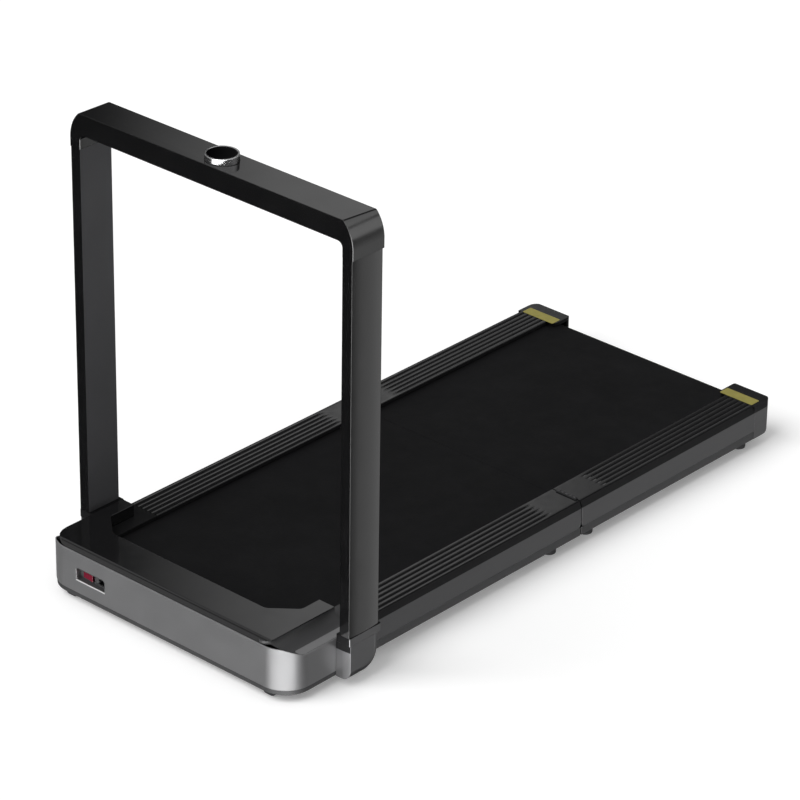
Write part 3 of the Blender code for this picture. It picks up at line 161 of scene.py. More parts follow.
def finish(name, base, roughness, metallic=0.0, cloud_mm=60.0, shade=0.05, swing=0.04, grain_mm=2.0,
           grain_depth=0.02, stretch=(1.0, 1.0, 1.0), specular=0.5):
    """A surface with soft clouds of shade, uneven roughness and a fine grain, sized in millimetres."""
    material = bpy.data.materials.get(name)
    if material:
        return material
    material = bpy.data.materials.new(name)
    material.use_nodes = True
    tree = material.node_tree
    shader = tree.nodes["Principled BSDF"]
    place = add(tree, "TexCoord").outputs["Object"]
    drawn = add(tree, "Mapping", {"Vector": place, "Scale": stretch}).outputs["Vector"]
    per_metre, smears_per_cloud = 1000, 2.3
    darkest, lightest = 0.3, 0.7    # the span of the noise's values
    clouds = add(tree, "TexNoise", {"Vector": drawn, "Scale": per_metre / cloud_mm, "Detail": 4.0})
    shades = add(tree, "MapRange", {"Value": clouds.outputs["Fac"], "From Min": darkest, "From Max": lightest,
                                    "To Min": 1 - shade, "To Max": 1 + shade})
    tinted = add(tree, "HueSaturation", {"Color": (*base, 1.0), "Value": shades.outputs["Result"]})
    smears = add(tree, "TexNoise", {"Vector": drawn, "Scale": smears_per_cloud * per_metre / cloud_mm,
                                    "Detail": 5.0})
    rough = add(tree, "MapRange", {"Value": smears.outputs["Fac"], "From Min": darkest, "From Max": lightest,
                                   "To Min": roughness - swing, "To Max": roughness + swing})
    grain = add(tree, "TexNoise", {"Vector": drawn, "Scale": per_metre / grain_mm, "Detail": 2.0})
    bump = add(tree, "Bump", {"Height": grain.outputs["Fac"], "Distance": grain_depth * MM, "Strength": 1.0})
    tree.links.new(tinted.outputs["Color"], shader.inputs["Base Color"])
    tree.links.new(rough.outputs["Result"], shader.inputs["Roughness"])
    tree.links.new(bump.outputs["Normal"], shader.inputs["Normal"])
    shader.inputs["Metallic"].default_value = metallic
    shader.inputs["Specular IOR Level"].default_value = specular
    return material


def silver_paint(colours):
    # Moulded ABS sprayed with a metallic paint: broad soft highlights with a faint flake
    return finish("metallic_paint", colours.band, 0.38, metallic=0.25, cloud_mm=90, shade=0.03, grain_mm=3,
                  grain_depth=0.015)


def polished_black(colours):
    # Polished black ABS: deep, with sharp reflections that waver a little
    return finish("polished_abs", colours.gloss, 0.09, cloud_mm=120, swing=0.03, grain_mm=25,
                  grain_depth=0.01)


def polished_panel(colours):
    # Hard-coated black acrylic over the crossbar: mirror-smooth and a little less bright than the hood
    return finish("coated_acrylic", colours.gloss, 0.08, cloud_mm=160, swing=0.02, grain_mm=30,
                  grain_depth=0.008, specular=0.27)


def moulded_sides(colours):
    # The hood's chamfer and walls as they leave the mould: black ABS, less glossy than its polished top
    return finish("moulded_abs", colours.gloss, 0.22, cloud_mm=80, grain_mm=6, grain_depth=0.01)


def painted_light_ledge(colours):
    # Dark grey ABS with a fine satin, a painted light: soft light that fades up the hollow slope beside the
    # hood
    return finish("painted_light_satin_abs", linear("#3e3e3f"), 0.45, cloud_mm=70, grain_mm=5, grain_depth=0.01,
                  specular=0.3)


def satin_black(colours):
    # Moulded ABS with a spark-eroded grain: dark, with a dull sheen. The grain is drawn coarser, to show
    return finish("grained_abs", colours.satin, 0.12, cloud_mm=45, shade=0.10, grain_mm=2.4, specular=0.45)


def knuckle_top_steel(colours):
    # Dull grey steel on short lands along the tops of the hinge knuckles
    return finish("knuckle_top_steel", linear("#6a6a6b"), 0.5, metallic=1.0, cloud_mm=8, shade=0.15,
                  swing=0.08, grain_mm=1.5, grain_depth=0.01)


def matt_black(colours):
    # Soft-touch thermoplastic, nearly without sheen; on the rails' grooves and outer slopes, partly painted
    # shade
    return finish("soft_touch_and_shade", linear("#0d0d0e"), 0.55, cloud_mm=50, shade=0.10, swing=0.05, grain_mm=2.4,
                  grain_depth=0.04, specular=0.12)


def tray_plastic(colours):
    # Moulded polypropylene: matt dark grey
    return finish("moulded_polypropylene", colours.tray, 0.60, cloud_mm=70, shade=0.06, grain_mm=2.5,
                  grain_depth=0.05)


def anodised(colours):
    # Anodised aluminium strip, brushed lengthwise: satin, with faint streaks along Y
    return finish("anodised_aluminium", colours.side, 0.42, metallic=0.4, cloud_mm=50, swing=0.05,
                  grain_mm=2.2, grain_depth=0.012, stretch=(1.0, 0.04, 1.0))


def painted_casting(colours):
    # Painted aluminium casting: satin grey with a slight orange peel
    return finish("painted_casting", colours.pod, 0.34, metallic=0.85, shade=0.04, grain_mm=3,
                  grain_depth=0.03)


def powder_coat(colours):
    # Black powder-coated steel tube: semi-gloss over a fine orange peel
    return finish("powder_coat", colours.post, 0.15, cloud_mm=110, swing=0.03, grain_mm=5,
                  grain_depth=0.015, specular=0.9)


def painted_inner_sheen(colours):
    # Satin grey down the posts' inner sides, a painted reflection: an even, dull grey beside the glossy coat
    return finish("painted_inner_sheen", linear("#505052"), 0.5, cloud_mm=110, shade=0.04, swing=0.03, grain_mm=3,
                  grain_depth=0.015, specular=0.3)


def belt_pvc(colours):
    # PVC running belt with an embossed lizard grain, drawn about twice as coarse as it is, to show
    return finish("embossed_pvc", colours.belt, 0.60, cloud_mm=140, shade=0.12, swing=0.06, grain_mm=3.2,
                  grain_depth=0.25, specular=0.10)


def moulded_rubber(colours):
    # Moulded rubber: matt and slightly dusty
    return finish("moulded_rubber", colours.rubber, 0.82, cloud_mm=12, shade=0.15, grain_mm=1.5,
                  grain_depth=0.06, specular=0.3)


def turned_steel(colours):
    # Turned steel: bright, with fine rings from the tool
    return finish("turned_steel", colours.steel, 0.20, metallic=1.0, cloud_mm=30, shade=0.03, swing=0.02,
                  grain_mm=1.0, grain_depth=0.001, stretch=(0.3, 0.3, 3.0))


def plated_steel(colours):
    # Zinc-plated steel: pale grey, unevenly dull
    return finish("plated_steel", colours.steel, 0.35, metallic=1.0, cloud_mm=20, shade=0.10, swing=0.10,
                  grain_depth=0.01)


def black_coat(colours):
    # Dip-painted steel: matt black
    return finish("dip_painted_steel", colours.tray, 0.48, metallic=0.2, cloud_mm=40, shade=0.10,
                  grain_depth=0.03)


def dial_glass(colours):
    # Black-backed glass: very dark, mirror-smooth
    return finish("backed_glass", linear("#040405"), 0.05, cloud_mm=40, swing=0.015, grain_mm=15,
                  grain_depth=0.001, specular=0.02)


def switch_plastic(colours):
    # Tinted polycarbonate rocker: glossy red
    return finish("tinted_polycarbonate", colours.switch, 0.24, cloud_mm=8, shade=0.06, grain_depth=0.01)


def bezel_plastic(colours):
    # Grey moulded plate round the switch and the inlet
    return finish("moulded_plate", linear("#3c3c3d"), 0.5, cloud_mm=15)


def painted_highlight_lip(colours):
    # Pale lip under the recess, a painted highlight: bright against the paint
    return finish("painted_highlight", linear("#dcdcdc"), 0.3, cloud_mm=20, shade=0.03, grain_mm=3, grain_depth=0.01)


def inlet_nylon(colours):
    # Glass-filled nylon: matt black
    return finish("filled_nylon", linear("#0b0b0c"), 0.55, cloud_mm=10, grain_mm=1.2, grain_depth=0.03)


def strip_film(colours):
    # Vinyl film: satin yellow, a little uneven
    return finish("vinyl_film", colours.strip, 0.42, cloud_mm=14, shade=0.10, grain_depth=0.01)


def fibreboard(colours):
    # Waxed fibreboard: brown, finely mottled
    return finish("fibreboard", colours.board, 0.58, cloud_mm=9, shade=0.18, grain_mm=1.5, grain_depth=0.05)


def circuit_board(colours):
    # Solder mask over glass epoxy: green and satin
    return finish("solder_mask", colours.circuit, 0.38, cloud_mm=12, shade=0.15, grain_mm=3,
                  grain_depth=0.03)


# Shapes

def shown(name, bm, *materials):
    """A mesh object from a bmesh, smooth with crisp edges."""
    bmesh.ops.recalc_face_normals(bm, faces=bm.faces)
    mesh = bpy.data.meshes.new(name)
    bm.to_mesh(mesh)
    bm.free()
    mesh.shade_smooth()
    mesh.set_sharp_from_angle(angle=radians(CREASE))
    piece = bpy.data.objects.new(name, mesh)
    bpy.context.scene.collection.objects.link(piece)
    for material in materials:
        mesh.materials.append(material)
    return piece


def settle(piece, body, slot, *nodes):
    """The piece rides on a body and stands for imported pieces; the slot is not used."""
    even = piece.modifiers.new("Even faces", "WEIGHTED_NORMAL")
    even.keep_sharp = True
    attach(piece, body)
    if nodes:
        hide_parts(*nodes)
    return piece


def round_edges(piece, width, angle=CREASE, clamp=False):
    """Rounds the edges that turn by more than an angle in degrees."""
    bevel = piece.modifiers.new("Rounded edges", "BEVEL")
    bevel.width = width
    bevel.segments = 3
    bevel.limit_method = "ANGLE"
    bevel.angle_limit = radians(angle)
    bevel.use_clamp_overlap = clamp
    bevel.harden_normals = True


def slot_of(node):
    """The finish slot that the record gives to a node."""
    return {part["node"]: part["material_slot"] for part in frame["record"]["subparts"]}[node]


def finer(node, width, *materials, angle=CREASE, clamp=False):
    """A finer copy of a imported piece: its flat faces joined and its edges rounded."""
    source = frame["nodes"][node]
    bm = bmesh.new()
    bm.from_mesh(source.data)
    bmesh.ops.remove_doubles(bm, verts=bm.verts, dist=WELD)
    bmesh.ops.dissolve_limit(bm, angle_limit=radians(0.3), verts=bm.verts, edges=bm.edges)
    piece = shown(node + "_finish", bm, *materials)
    if width:
        round_edges(piece, width, angle, clamp)
    return settle(piece, source["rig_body"], slot_of(node), node)


def carve(piece, *cutters):
    """Cuts other objects out of a piece and keeps the result as its mesh."""
    for cutter in cutters:
        modifier = piece.modifiers.new("Cut", "BOOLEAN")
        modifier.operation = "DIFFERENCE"
        modifier.solver = "EXACT"
        modifier.object = cutter
    ready = piece.evaluated_get(bpy.context.evaluated_depsgraph_get())
    mesh = bpy.data.meshes.new_from_object(ready)
    piece.modifiers.clear()
    old, piece.data = piece.data, mesh
    bpy.data.meshes.remove(old)
    for cutter in cutters:
        bpy.data.objects.remove(cutter)
    mesh.shade_smooth()
    mesh.set_sharp_from_angle(angle=radians(CREASE))
    return piece


def slice_at(bm, place, normal):
    """Cuts new edges into a bmesh where a plane crosses it."""
    bmesh.ops.bisect_plane(bm, geom=bm.verts[:] + bm.edges[:] + bm.faces[:], plane_co=place, plane_no=normal,
                           dist=WELD)


def arc(centre, radius, first, last, steps):
    """Points on an arc in a plane, angles in degrees."""
    return [(centre[0] + radius * cos(radians(first + (last - first) * k / steps)),
             centre[1] + radius * sin(radians(first + (last - first) * k / steps))) for k in range(steps + 1)]


def rounded(corners, steps=8):
    """An outline whose corners (u, v, radius) are turned into arcs."""
    points = []
    for i, (u, v, radius) in enumerate(corners):
        here = Vector((u, v))
        if radius <= 0:
            points.append((u, v))
            continue
        back = (Vector(corners[i - 1][:2]) - here).normalized()
        ahead = (Vector(corners[(i + 1) % len(corners)][:2]) - here).normalized()
        half = acos(max(-1.0, min(1.0, back.dot(ahead)))) / 2
        centre = here + (back + ahead).normalized() * (radius / sin(half))
        reach = radius / (sin(half) / cos(half))
        start = here + back * reach - centre
        sweep = (here + ahead * reach - centre).angle_signed(start)
        first = atan2(start.y, start.x)
        for k in range(steps + 1):
            angle = first + sweep * k / steps
            points.append((centre.x + radius * cos(angle), centre.y + radius * sin(angle)))
    return points


def lofted(rings):
    """A bmesh skin through rings of equal count, closed round each ring and at both ends."""
    bm = bmesh.new()
    laid = [[bm.verts.new(point) for point in ring] for ring in rings]
    for low, high in zip(laid, laid[1:]):
        for i in range(len(low)):
            j = (i + 1) % len(low)
            bm.faces.new((low[i], low[j], high[j], high[i]))
    bm.faces.new(laid[0])
    bm.faces.new(laid[-1])
    return bm


def plate(side, outline, low, high):
    """A bmesh slab between two heights over an outline in X and Y; side mirrors it."""
    return lofted([[(side * x, y, z) for x, y in outline] for z in (low, high)])


def turned(profile, centre, steps=96):
    """A bmesh turned about the Z axis through a centre, from (radius, height) points."""
    bm = bmesh.new()
    points = [bm.verts.new((centre[0] + r, centre[1], z)) for r, z in profile]
    edges = [bm.edges.new(pair) for pair in zip(points, points[1:])]
    bmesh.ops.spin(bm, geom=points + edges, cent=(centre[0], centre[1], 0), axis=(0, 0, 1), angle=2 * pi,
                   steps=steps, use_merge=True)
    bmesh.ops.remove_doubles(bm, verts=bm.verts, dist=WELD)
    return bm


def block(name, low, high, *materials):
    """A plain box between two corners."""
    bm = bmesh.new()
    bmesh.ops.create_cube(bm, size=1.0)
    low, high = Vector(low), Vector(high)
    bmesh.ops.scale(bm, vec=high - low, verts=bm.verts)
    bmesh.ops.translate(bm, vec=(low + high) / 2, verts=bm.verts)
    return shown(name, bm, *materials)


def rod(radius, depth, segments):
    """A bmesh cylinder along Z, centred on the origin."""
    bm = bmesh.new()
    bmesh.ops.create_cone(bm, cap_ends=True, segments=segments, radius1=radius, radius2=radius, depth=depth)
    return bm


# Pieces

def make_band(sizes, colours):
    finer("bumper_band", sizes.band_edge, silver_paint(colours), angle=38)


def make_pan(sizes, colours):
    finer("front_pan", sizes.cover_edge, tray_plastic(colours))


def make_hood(sizes, colours):
    """The hood with a polished top; its walls, chamfer and rounded edges are left as moulded."""
    level = 0.9     # least share of Z in the normals of its top
    hood = finer("hood", sizes.hood_edge, polished_black(colours), moulded_sides(colours))
    for face in hood.data.polygons:
        face.material_index = 0 if face.normal.z > level else 1
    hood.modifiers["Rounded edges"].material = 1


def make_ledges(sizes, colours):
    """Dark ledges beside the hood, each with a silver rim outside and a black strip inside."""
    inset, rim_height, left_rim = 0.2 * MM, 0.5 * MM, 14 * MM
    rim_start, rim_stop, inner_corner, outer_corner = 42 * MM, 1 * MM, 6 * MM, 10 * MM
    strip_front, strip_width = FRONT + 96 * MM, 1.2 * MM
    strip_foot, strip_top = BELT_TOP + 1.5 * MM, BELT_TOP + 7.2 * MM
    # The right ledge is given a lighter grey than the black left one, as painted light
    looks = {"right": (painted_light_ledge, sizes.rim_width), "left": (matt_black, left_rim)}
    for label, side in SIDES:
        plastic, rim_width = looks[label]
        finer(f"ledge_{label}", sizes.cover_edge, plastic(colours))
        low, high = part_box(f"ledge_{label}")
        outer = max(abs(low.x), abs(high.x)) - inset
        inner = outer - rim_width
        front, back = low.y + rim_start, high.y - rim_stop
        outline = rounded([(inner, front, inner_corner), (outer, front, outer_corner),
                           (outer, back, 0), (inner, back, 0)], 6)
        rim = shown(f"rim_{label}", plate(side, outline, high.z, high.z + rim_height), silver_paint(colours))
        settle(rim, "base", "silver_paint")
        edge = min(abs(low.x), abs(high.x)) + inset
        left, right = sorted((side * edge, side * (edge + strip_width)))
        strip = block(f"ledge_strip_{label}", (left, strip_front, strip_foot), (right, back, strip_top),
                      matt_black(colours))
        settle(strip, "base", "black_satin")


def make_cove(sizes, colours):
    """The hollow slope from the hood's right edge down to the ledge, narrowing round the front corner."""
    play, thick, steps = 0.1 * MM, 0.5 * MM, 16
    top, foot = HOOD_HIGH.z - 1.5 * MM, LEDGE_HIGH.z + 0.6 * MM
    widest, narrowest = 29 * MM, 0.2 * MM
    hood_corner, band_corner, band_wall = 20 * MM, 60 * MM, 3 * MM
    centre = Vector((HOOD_HIGH.x - hood_corner, HOOD_LOW.y + hood_corner))
    band_centre = Vector((BAND_HIGH.x - band_corner, BAND_LOW.y + band_corner))
    stations = []
    for degrees in range(-6, 91, 8):
        heading = Vector((sin(radians(degrees)), -cos(radians(degrees))))
        offset = centre - band_centre
        along = heading.dot(offset)
        to_band = -along + (along ** 2 - offset.length_squared + (band_corner - band_wall) ** 2) ** 0.5
        reach = max(narrowest, min(widest, to_band - hood_corner - narrowest))
        stations.append((centre + heading * (hood_corner + play), heading, reach))
    back = LEDGE_HIGH.y - 48 * MM
    stations.append((Vector((HOOD_HIGH.x + play, back)), Vector((1, 0)), widest))
    rings = []
    for start, heading, reach in stations:
        ring = []
        for k in range(steps + 1):
            angle = radians(90 * k / steps)
            spot = start + heading * reach * (1 - cos(angle))
            ring.append((spot.x, spot.y, top - (top - foot) * sin(angle)))
        end = start + heading * reach
        ring += [(end.x, end.y, foot - thick), (start.x, start.y, foot - thick)]
        rings.append(ring)
    # The slope's grey is painted light, like the right ledge's
    cove = shown("hood_cove", lofted(rings), painted_light_ledge(colours))
    settle(cove, "base", "black_gloss")


def make_recess(sizes, colours):
    """The recess with its switch and inlet, and a pale lip along its lower edge as a painted highlight."""
    finer("recess_bezel", 0.3 * MM, bezel_plastic(colours))
    finer("power_inlet", 0.3 * MM, inlet_nylon(colours))
    finer("switch_rocker", 0.8 * MM, switch_plastic(colours), clamp=True)
    past_left, past_right, edge = 1.2 * MM, 0.2 * MM, 0.6 * MM
    proud, sunk, below, above = 0.5 * MM, 1.2 * MM, 1.8 * MM, 1.0 * MM
    low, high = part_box("recess_bezel")
    # The lip's pale colour is a painted highlight on the recess's lower edge
    lip = block("recess_highlight_lip", (low.x - past_left, FRONT - proud, low.z - below),
                (high.x + past_right, FRONT + sunk, low.z + above), painted_highlight_lip(colours))
    round_edges(lip, edge, clamp=True)
    settle(lip, "base", "black_satin")


RAIL_SLOPE = 6 * MM     # width of a rail's outer slope


def rail_section(sizes, side, share):
    """A rail's section; share says how deep its grooves are at this station."""
    flat, shoulder, grooves, edge = 6 * MM, 9 * MM, 5, 1.6 * MM
    lip_foot, lip_width, wall = BELT_TOP + 1.5 * MM, 10 * MM, 3.5 * MM
    shift = 1.5 * MM            # of the grooves, towards the belt
    steps, hollow = 8, 0.7      # hollow below 1 makes a groove's floor broader
    first, last = RAIL_INNER + flat, RAIL_OUTER - shoulder
    pitch = (last - first) / grooves
    points = [(RAIL_INNER, lip_foot)] + arc((RAIL_INNER + edge, RAIL_TOP - edge), edge, 180, 90, 4)
    for k in range(grooves):
        start = first + pitch * k + (pitch - sizes.groove_width) / 2 - shift
        for j in range(steps + 1):
            depth = sizes.groove_depth * share * (0.5 - 0.5 * cos(2 * pi * j / steps)) ** hollow
            points.append((start + sizes.groove_width * j / steps, RAIL_TOP - depth))
    foot, under = RAIL_LOW.z, RAIL_TOP - wall
    points += arc((last, RAIL_TOP - RAIL_SLOPE), RAIL_SLOPE, 90, 52, 4)
    points += [(RAIL_OUTER, foot + 1 * MM), (RAIL_OUTER, foot), (RAIL_OUTER - wall, foot),
               (last - 1 * MM, under), (RAIL_INNER + lip_width, under), (RAIL_INNER + lip_width, lip_foot)]
    return [(side * x, z) for x, z in points]


def make_rails(sizes, colours):
    """Rail covers whose grooves run out into smooth pads at the fold, notched for the hinges."""
    steps = 10
    painted_shade_from = 0.35                    # share of a groove's depth from which it is matt
    reach, play = 4.3 * MM, 0.3 * MM    # of the notch, along the rail and beside the hinge
    under, over = 25 * MM, 10 * MM      # of the notch, below and above the rail's top
    for half, heading in (("front", -1), ("rear", 1)):
        for label, side in SIDES:
            node = f"rail_{half}_{label}"
            low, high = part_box(node)
            near, far = (high.y, low.y) if half == "front" else (low.y, high.y)
            stations = [(near, 0.0), (near + heading * sizes.pad_length, 0.0)]
            for k in range(1, steps + 1):
                t = k / steps
                y = near + heading * (sizes.pad_length + sizes.fade_length * t)
                stations.append((y, t * t * (3 - 2 * t)))
            stations.append((far, 1.0))
            rings = [[(x, y, z) for x, z in rail_section(sizes, side, share)] for y, share in stations]
            rail = shown(node + "_finish", lofted(rings), satin_black(colours), matt_black(colours))
            # Grooves and outer slopes turn matt, which darkens them partly as painted shade
            for face in rail.data.polygons:
                sloping = abs(face.center.x) > RAIL_OUTER - RAIL_SLOPE
                sunk = face.center.z < RAIL_TOP - painted_shade_from * sizes.groove_depth
                if sloping or sunk:
                    face.material_index = 1
            hinge_low, hinge_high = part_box(f"hinge_front_{label}")
            carve(rail, block("cutter", (hinge_low.x - play, FOLD_Y - reach, RAIL_TOP - under),
                              (hinge_high.x + play, FOLD_Y + reach, RAIL_TOP + over)))
            settle(rail, "base" if half == "front" else "deck_rear", "black_satin", node)


def corner_cutter(x1, x2, y, z, heading, radius):
    """What a rounded lower corner leaves out of a band that ends at y."""
    outside = 5 * MM
    curve = arc((y + heading * radius, z + radius), radius, 270, 180 if heading > 0 else 360, 8)
    outline = curve + [(y - heading * outside, z + radius), (y - heading * outside, z - outside),
                       (y + heading * radius, z - outside)]
    rings = [[(x, v, w) for v, w in outline] for x in (x1, x2)]
    return shown("cutter", lofted(rings))


def make_side_bands(sizes, colours):
    """Grey bands along the deck, with rounded lower corners at the fold."""
    radius, past = 9 * MM, 1 * MM
    for half, heading in (("front", -1), ("rear", 1)):
        for label, _ in SIDES:
            node = f"side_band_{half}_{label}"
            piece = finer(node, 0, anodised(colours))
            low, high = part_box(node)
            y = high.y if half == "front" else low.y
            carve(piece, corner_cutter(low.x - past, high.x + past, y, low.z, heading, radius))
            round_edges(piece, sizes.cover_edge)


def make_trays(sizes, colours):
    for half in ("front", "rear"):
        finer(f"undertray_{half}", sizes.cover_edge, tray_plastic(colours))


def make_end_caps(sizes, colours):
    """Rear corner caps with a rounded corner; the side bands' grey runs on along their outer sides."""
    corner_radius, edge_width = 5 * MM, 0.25 * MM
    tall, beside, behind = 1 * MM, 0.5 * MM, 12 * MM    # tell the corner's upright edge
    level, outward = 0.6, 0.2                           # shares of Z and X in a face's normal
    low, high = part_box("side_band_rear_right")
    for label, side in SIDES:
        cap = finer(f"end_cap_{label}", 0, satin_black(colours), anodised(colours), matt_black(colours))
        bm = bmesh.new()
        bm.from_mesh(cap.data)
        for z in (low.z, high.z):
            slice_at(bm, (0, 0, z), (0, 0, 1))
        outer = max(abs(vertex.co.x) for vertex in bm.verts)
        back = max(vertex.co.y for vertex in bm.verts)

        def at_corner(edge):
            upright = abs(edge.verts[0].co.z - edge.verts[1].co.z) > tall
            return upright and all(abs(vertex.co.x) > outer - beside and vertex.co.y > back - behind
                                   for vertex in edge.verts)

        bmesh.ops.bevel(bm, geom=[edge for edge in bm.edges if at_corner(edge)], offset=corner_radius,
                        segments=6, profile=0.5, affect="EDGES")
        bm.normal_update()
        for face in bm.faces:
            if abs(face.normal.z) < level:
                banded = face.calc_center_median().z < high.z and face.normal.x * side > outward
                face.material_index = 1 if banded else 2
        bm.to_mesh(cap.data)
        bm.free()
        round_edges(cap, edge_width)


def make_strips(sizes, colours):
    """Plain yellow strips across the rails' rear ends."""
    inner, outer = CAP_LOW.x + 3.5 * MM, CAP_HIGH.x - 11 * MM
    front, back = CAP_LOW.y + 1 * MM, CAP_LOW.y + 28 * MM
    corner = 3 * MM
    outline = rounded([(inner, front, corner), (outer, front, corner), (outer, back, corner),
                       (inner, back, corner)], 5)
    for label, side in SIDES:
        slab = plate(side, outline, CAP_HIGH.z, CAP_HIGH.z + sizes.strip_thickness)
        settle(shown(f"yellow_strip_{label}", slab, strip_film(colours)), "deck_rear", "black_satin")


def make_hinges(sizes, colours):
    """Black hinges with short bright lands along their knuckles."""
    count, start, end = 5, 0.22, 0.78       # of the lands, as shares of a knuckle
    land_depth = 1.2 * MM
    for half in ("front", "rear"):
        for label, _ in SIDES:
            node = f"hinge_{half}_{label}"
            low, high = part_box(node)
            hinge = finer(node, 0, black_coat(colours), knuckle_top_steel(colours))
            bm = bmesh.new()
            bm.from_mesh(hinge.data)
            knuckle = (high.x - low.x) / count
            lands = [(low.x + knuckle * (k + start), low.x + knuckle * (k + end)) for k in range(count)]
            for x in [edge for land in lands for edge in land]:
                slice_at(bm, (x, 0, 0), (1, 0, 0))
            for face in bm.faces:
                middle = face.calc_center_median()
                on_land = any(first < middle.x < last for first, last in lands)
                if on_land and middle.z > high.z - land_depth:
                    face.material_index = 1
            bm.to_mesh(hinge.data)
            bm.free()


def make_feet(sizes, colours):
    for label, _ in SIDES:
        for place in ("front", "fold", "rear"):
            finer(f"foot_{place}_{label}", 0.8 * MM, moulded_rubber(colours), clamp=True)
        finer(f"wheel_{label}", 0.8 * MM, moulded_rubber(colours), clamp=True)


def make_belts(sizes, colours):
    """The belt's two halves, with a finer turn round each roller; they meet at the fold."""
    thick, overlap, steps = 1.6 * MM, 1.2 * MM, 32
    for half, heading in (("front", 1), ("rear", -1)):
        node = f"running_belt_{half}"
        low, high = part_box(node)
        outer = (high.z - low.z) / 2
        middle = (high.z + low.z) / 2
        turn_y = low.y + outer if half == "front" else high.y - outer
        end_y = (high.y if half == "front" else low.y) + heading * overlap
        loops = []
        for radius in (outer, outer - thick):
            turn = [(turn_y - heading * radius * sin(pi * k / steps), middle + radius * cos(pi * k / steps))
                    for k in range(steps + 1)]
            loops.append([(end_y, middle + radius)] + turn + [(end_y, middle - radius)])
        outline = loops[0] + loops[1][::-1]
        rings = [[(x, y, z) for y, z in outline] for x in (low.x, high.x)]
        belt = shown(node + "_finish", lofted(rings), belt_pvc(colours))
        settle(belt, "base" if half == "front" else "deck_rear", "belt", node)


def post_ring(side, inset, z):
    """A post's section: flat front, a bowed outer face and a rounded back."""
    inner, outer = POST_LOW.x + inset, POST_HIGH.x - inset
    front, back = POST_LOW.y + inset, POST_HIGH.y - inset
    bow, edge, corner, inner_edge, steps = 1.2 * MM, 0.12 * MM, 4 * MM, 1 * MM, 24
    first, last = front + edge, back - corner
    middle, half = (first + last) / 2, (last - first) / 2
    crown = []
    for k in range(steps + 1):
        y = first + (last - first) * k / steps
        crown.append((outer - bow * ((y - middle) / half) ** 2, y))
    turn = arc((outer - bow - corner, last), corner, 6, 84, 8)
    outline = [(inner, back - inner_edge), (inner, front), (outer - bow - edge, front)]
    outline += crown + turn + [(inner + inner_edge, back)]
    return [(side * x, y, z) for x, y in outline]


def make_posts(sizes, colours):
    """Posts in powder coat, with a painted grey reflection down their inner sides."""
    low, high, edge = POST_LOW.z, POST_HIGH.z, 0.5 * MM
    near, square = 0.6 * MM, 0.9        # tell the inner side's faces by place and normal
    for label, side in SIDES:
        bm = lofted([post_ring(side, edge, low), post_ring(side, 0, low + edge), post_ring(side, 0, high)])
        bm.normal_update()
        # The inner sides' grey is a painted reflection
        for face in bm.faces:
            if abs(face.calc_center_median().x) < POST_LOW.x + near and abs(face.normal.x) > square:
                face.material_index = 1
        post = shown(f"post_{label}_finish", bm, powder_coat(colours), painted_inner_sheen(colours))
        settle(post, "handrail", "post_black", f"post_{label}")


def pod_ring(side, x, inset, setback=0.0):
    """A pod's outline at one station across: an upright front and a large round under the pivot."""
    turn, crown = 44 * MM, 0.08
    back, low, high = POD_HIGH.y, POD_LOW.z, POD_HIGH.z
    face = POD_LOW.y + crown * (x - POD_LOW.x) ** 2 / (POD_HIGH.x - POD_LOW.x) + setback
    outline = [(face, high), (face, low + inset)]
    outline += arc((back - turn, low + turn), turn - inset, 270, 360, 20)
    outline.append((back - inset, high))
    return [(side * x, y, z) for y, z in outline]


def make_pods(sizes, colours):
    """Pods with a soft outer lower edge, black at the top of their fronts, bored for the pivot pins."""
    inner_edge, front_edge, soft, steps = 0.6 * MM, 0.2 * MM, 20 * MM, 12
    black_foot, facing = POD_HIGH.z - 15 * MM, 0.7      # facing is the least share of -Y in a normal
    bore_radius, bore_depth, play = 10.3 * MM, 60 * MM, 0.3 * MM
    for label, side in SIDES:
        rings = [pod_ring(side, POD_LOW.x, inner_edge), pod_ring(side, POD_LOW.x + inner_edge, 0)]
        for k in range(steps + 1):
            angle = radians(90 * k / steps)
            x = POD_HIGH.x - soft + soft * sin(angle)
            past = max(0.0, x - POD_HIGH.x + front_edge)
            setback = front_edge - (front_edge ** 2 - past ** 2) ** 0.5
            rings.append(pod_ring(side, x, soft * (1 - cos(angle)), setback))
        bm = lofted(rings)
        slice_at(bm, (0, 0, black_foot), (0, 0, 1))
        bm.normal_update()
        for face in bm.faces:
            if face.normal.y < -facing and face.calc_center_median().z > black_foot:
                face.material_index = 1
        pod = shown(f"pod_{label}_finish", bm, painted_casting(colours), matt_black(colours))
        low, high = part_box(f"pivot_pin_{label}")
        middle = (low + high) / 2
        tip = high.x if side > 0 else low.x
        bore = rod(bore_radius, bore_depth, 48)
        bmesh.ops.rotate(bore, cent=(0, 0, 0), matrix=Matrix.Rotation(pi / 2, 3, "Y"), verts=bore.verts)
        bmesh.ops.translate(bore, vec=(tip + side * (play - bore_depth / 2), middle.y, middle.z),
                            verts=bore.verts)
        carve(pod, shown("cutter", bore))
        settle(pod, "handrail", "cast_grey", f"pod_{label}")


def make_collars(sizes, colours):
    """Black collars between posts and pods; their outer sides take the pods' paint as a painted reflection.
    """
    near, facing = 3 * MM, 0.7          # tell the outer sides by place and normal
    for label, side in SIDES:
        collar = finer(f"collar_{label}", 0.1 * MM, matt_black(colours), painted_casting(colours))
        # The outer sides' grey is a painted reflection on the black collar
        for face in collar.data.polygons:
            if face.normal.x * side > facing and abs(face.center.x) > POD_HIGH.x - near:
                face.material_index = 1


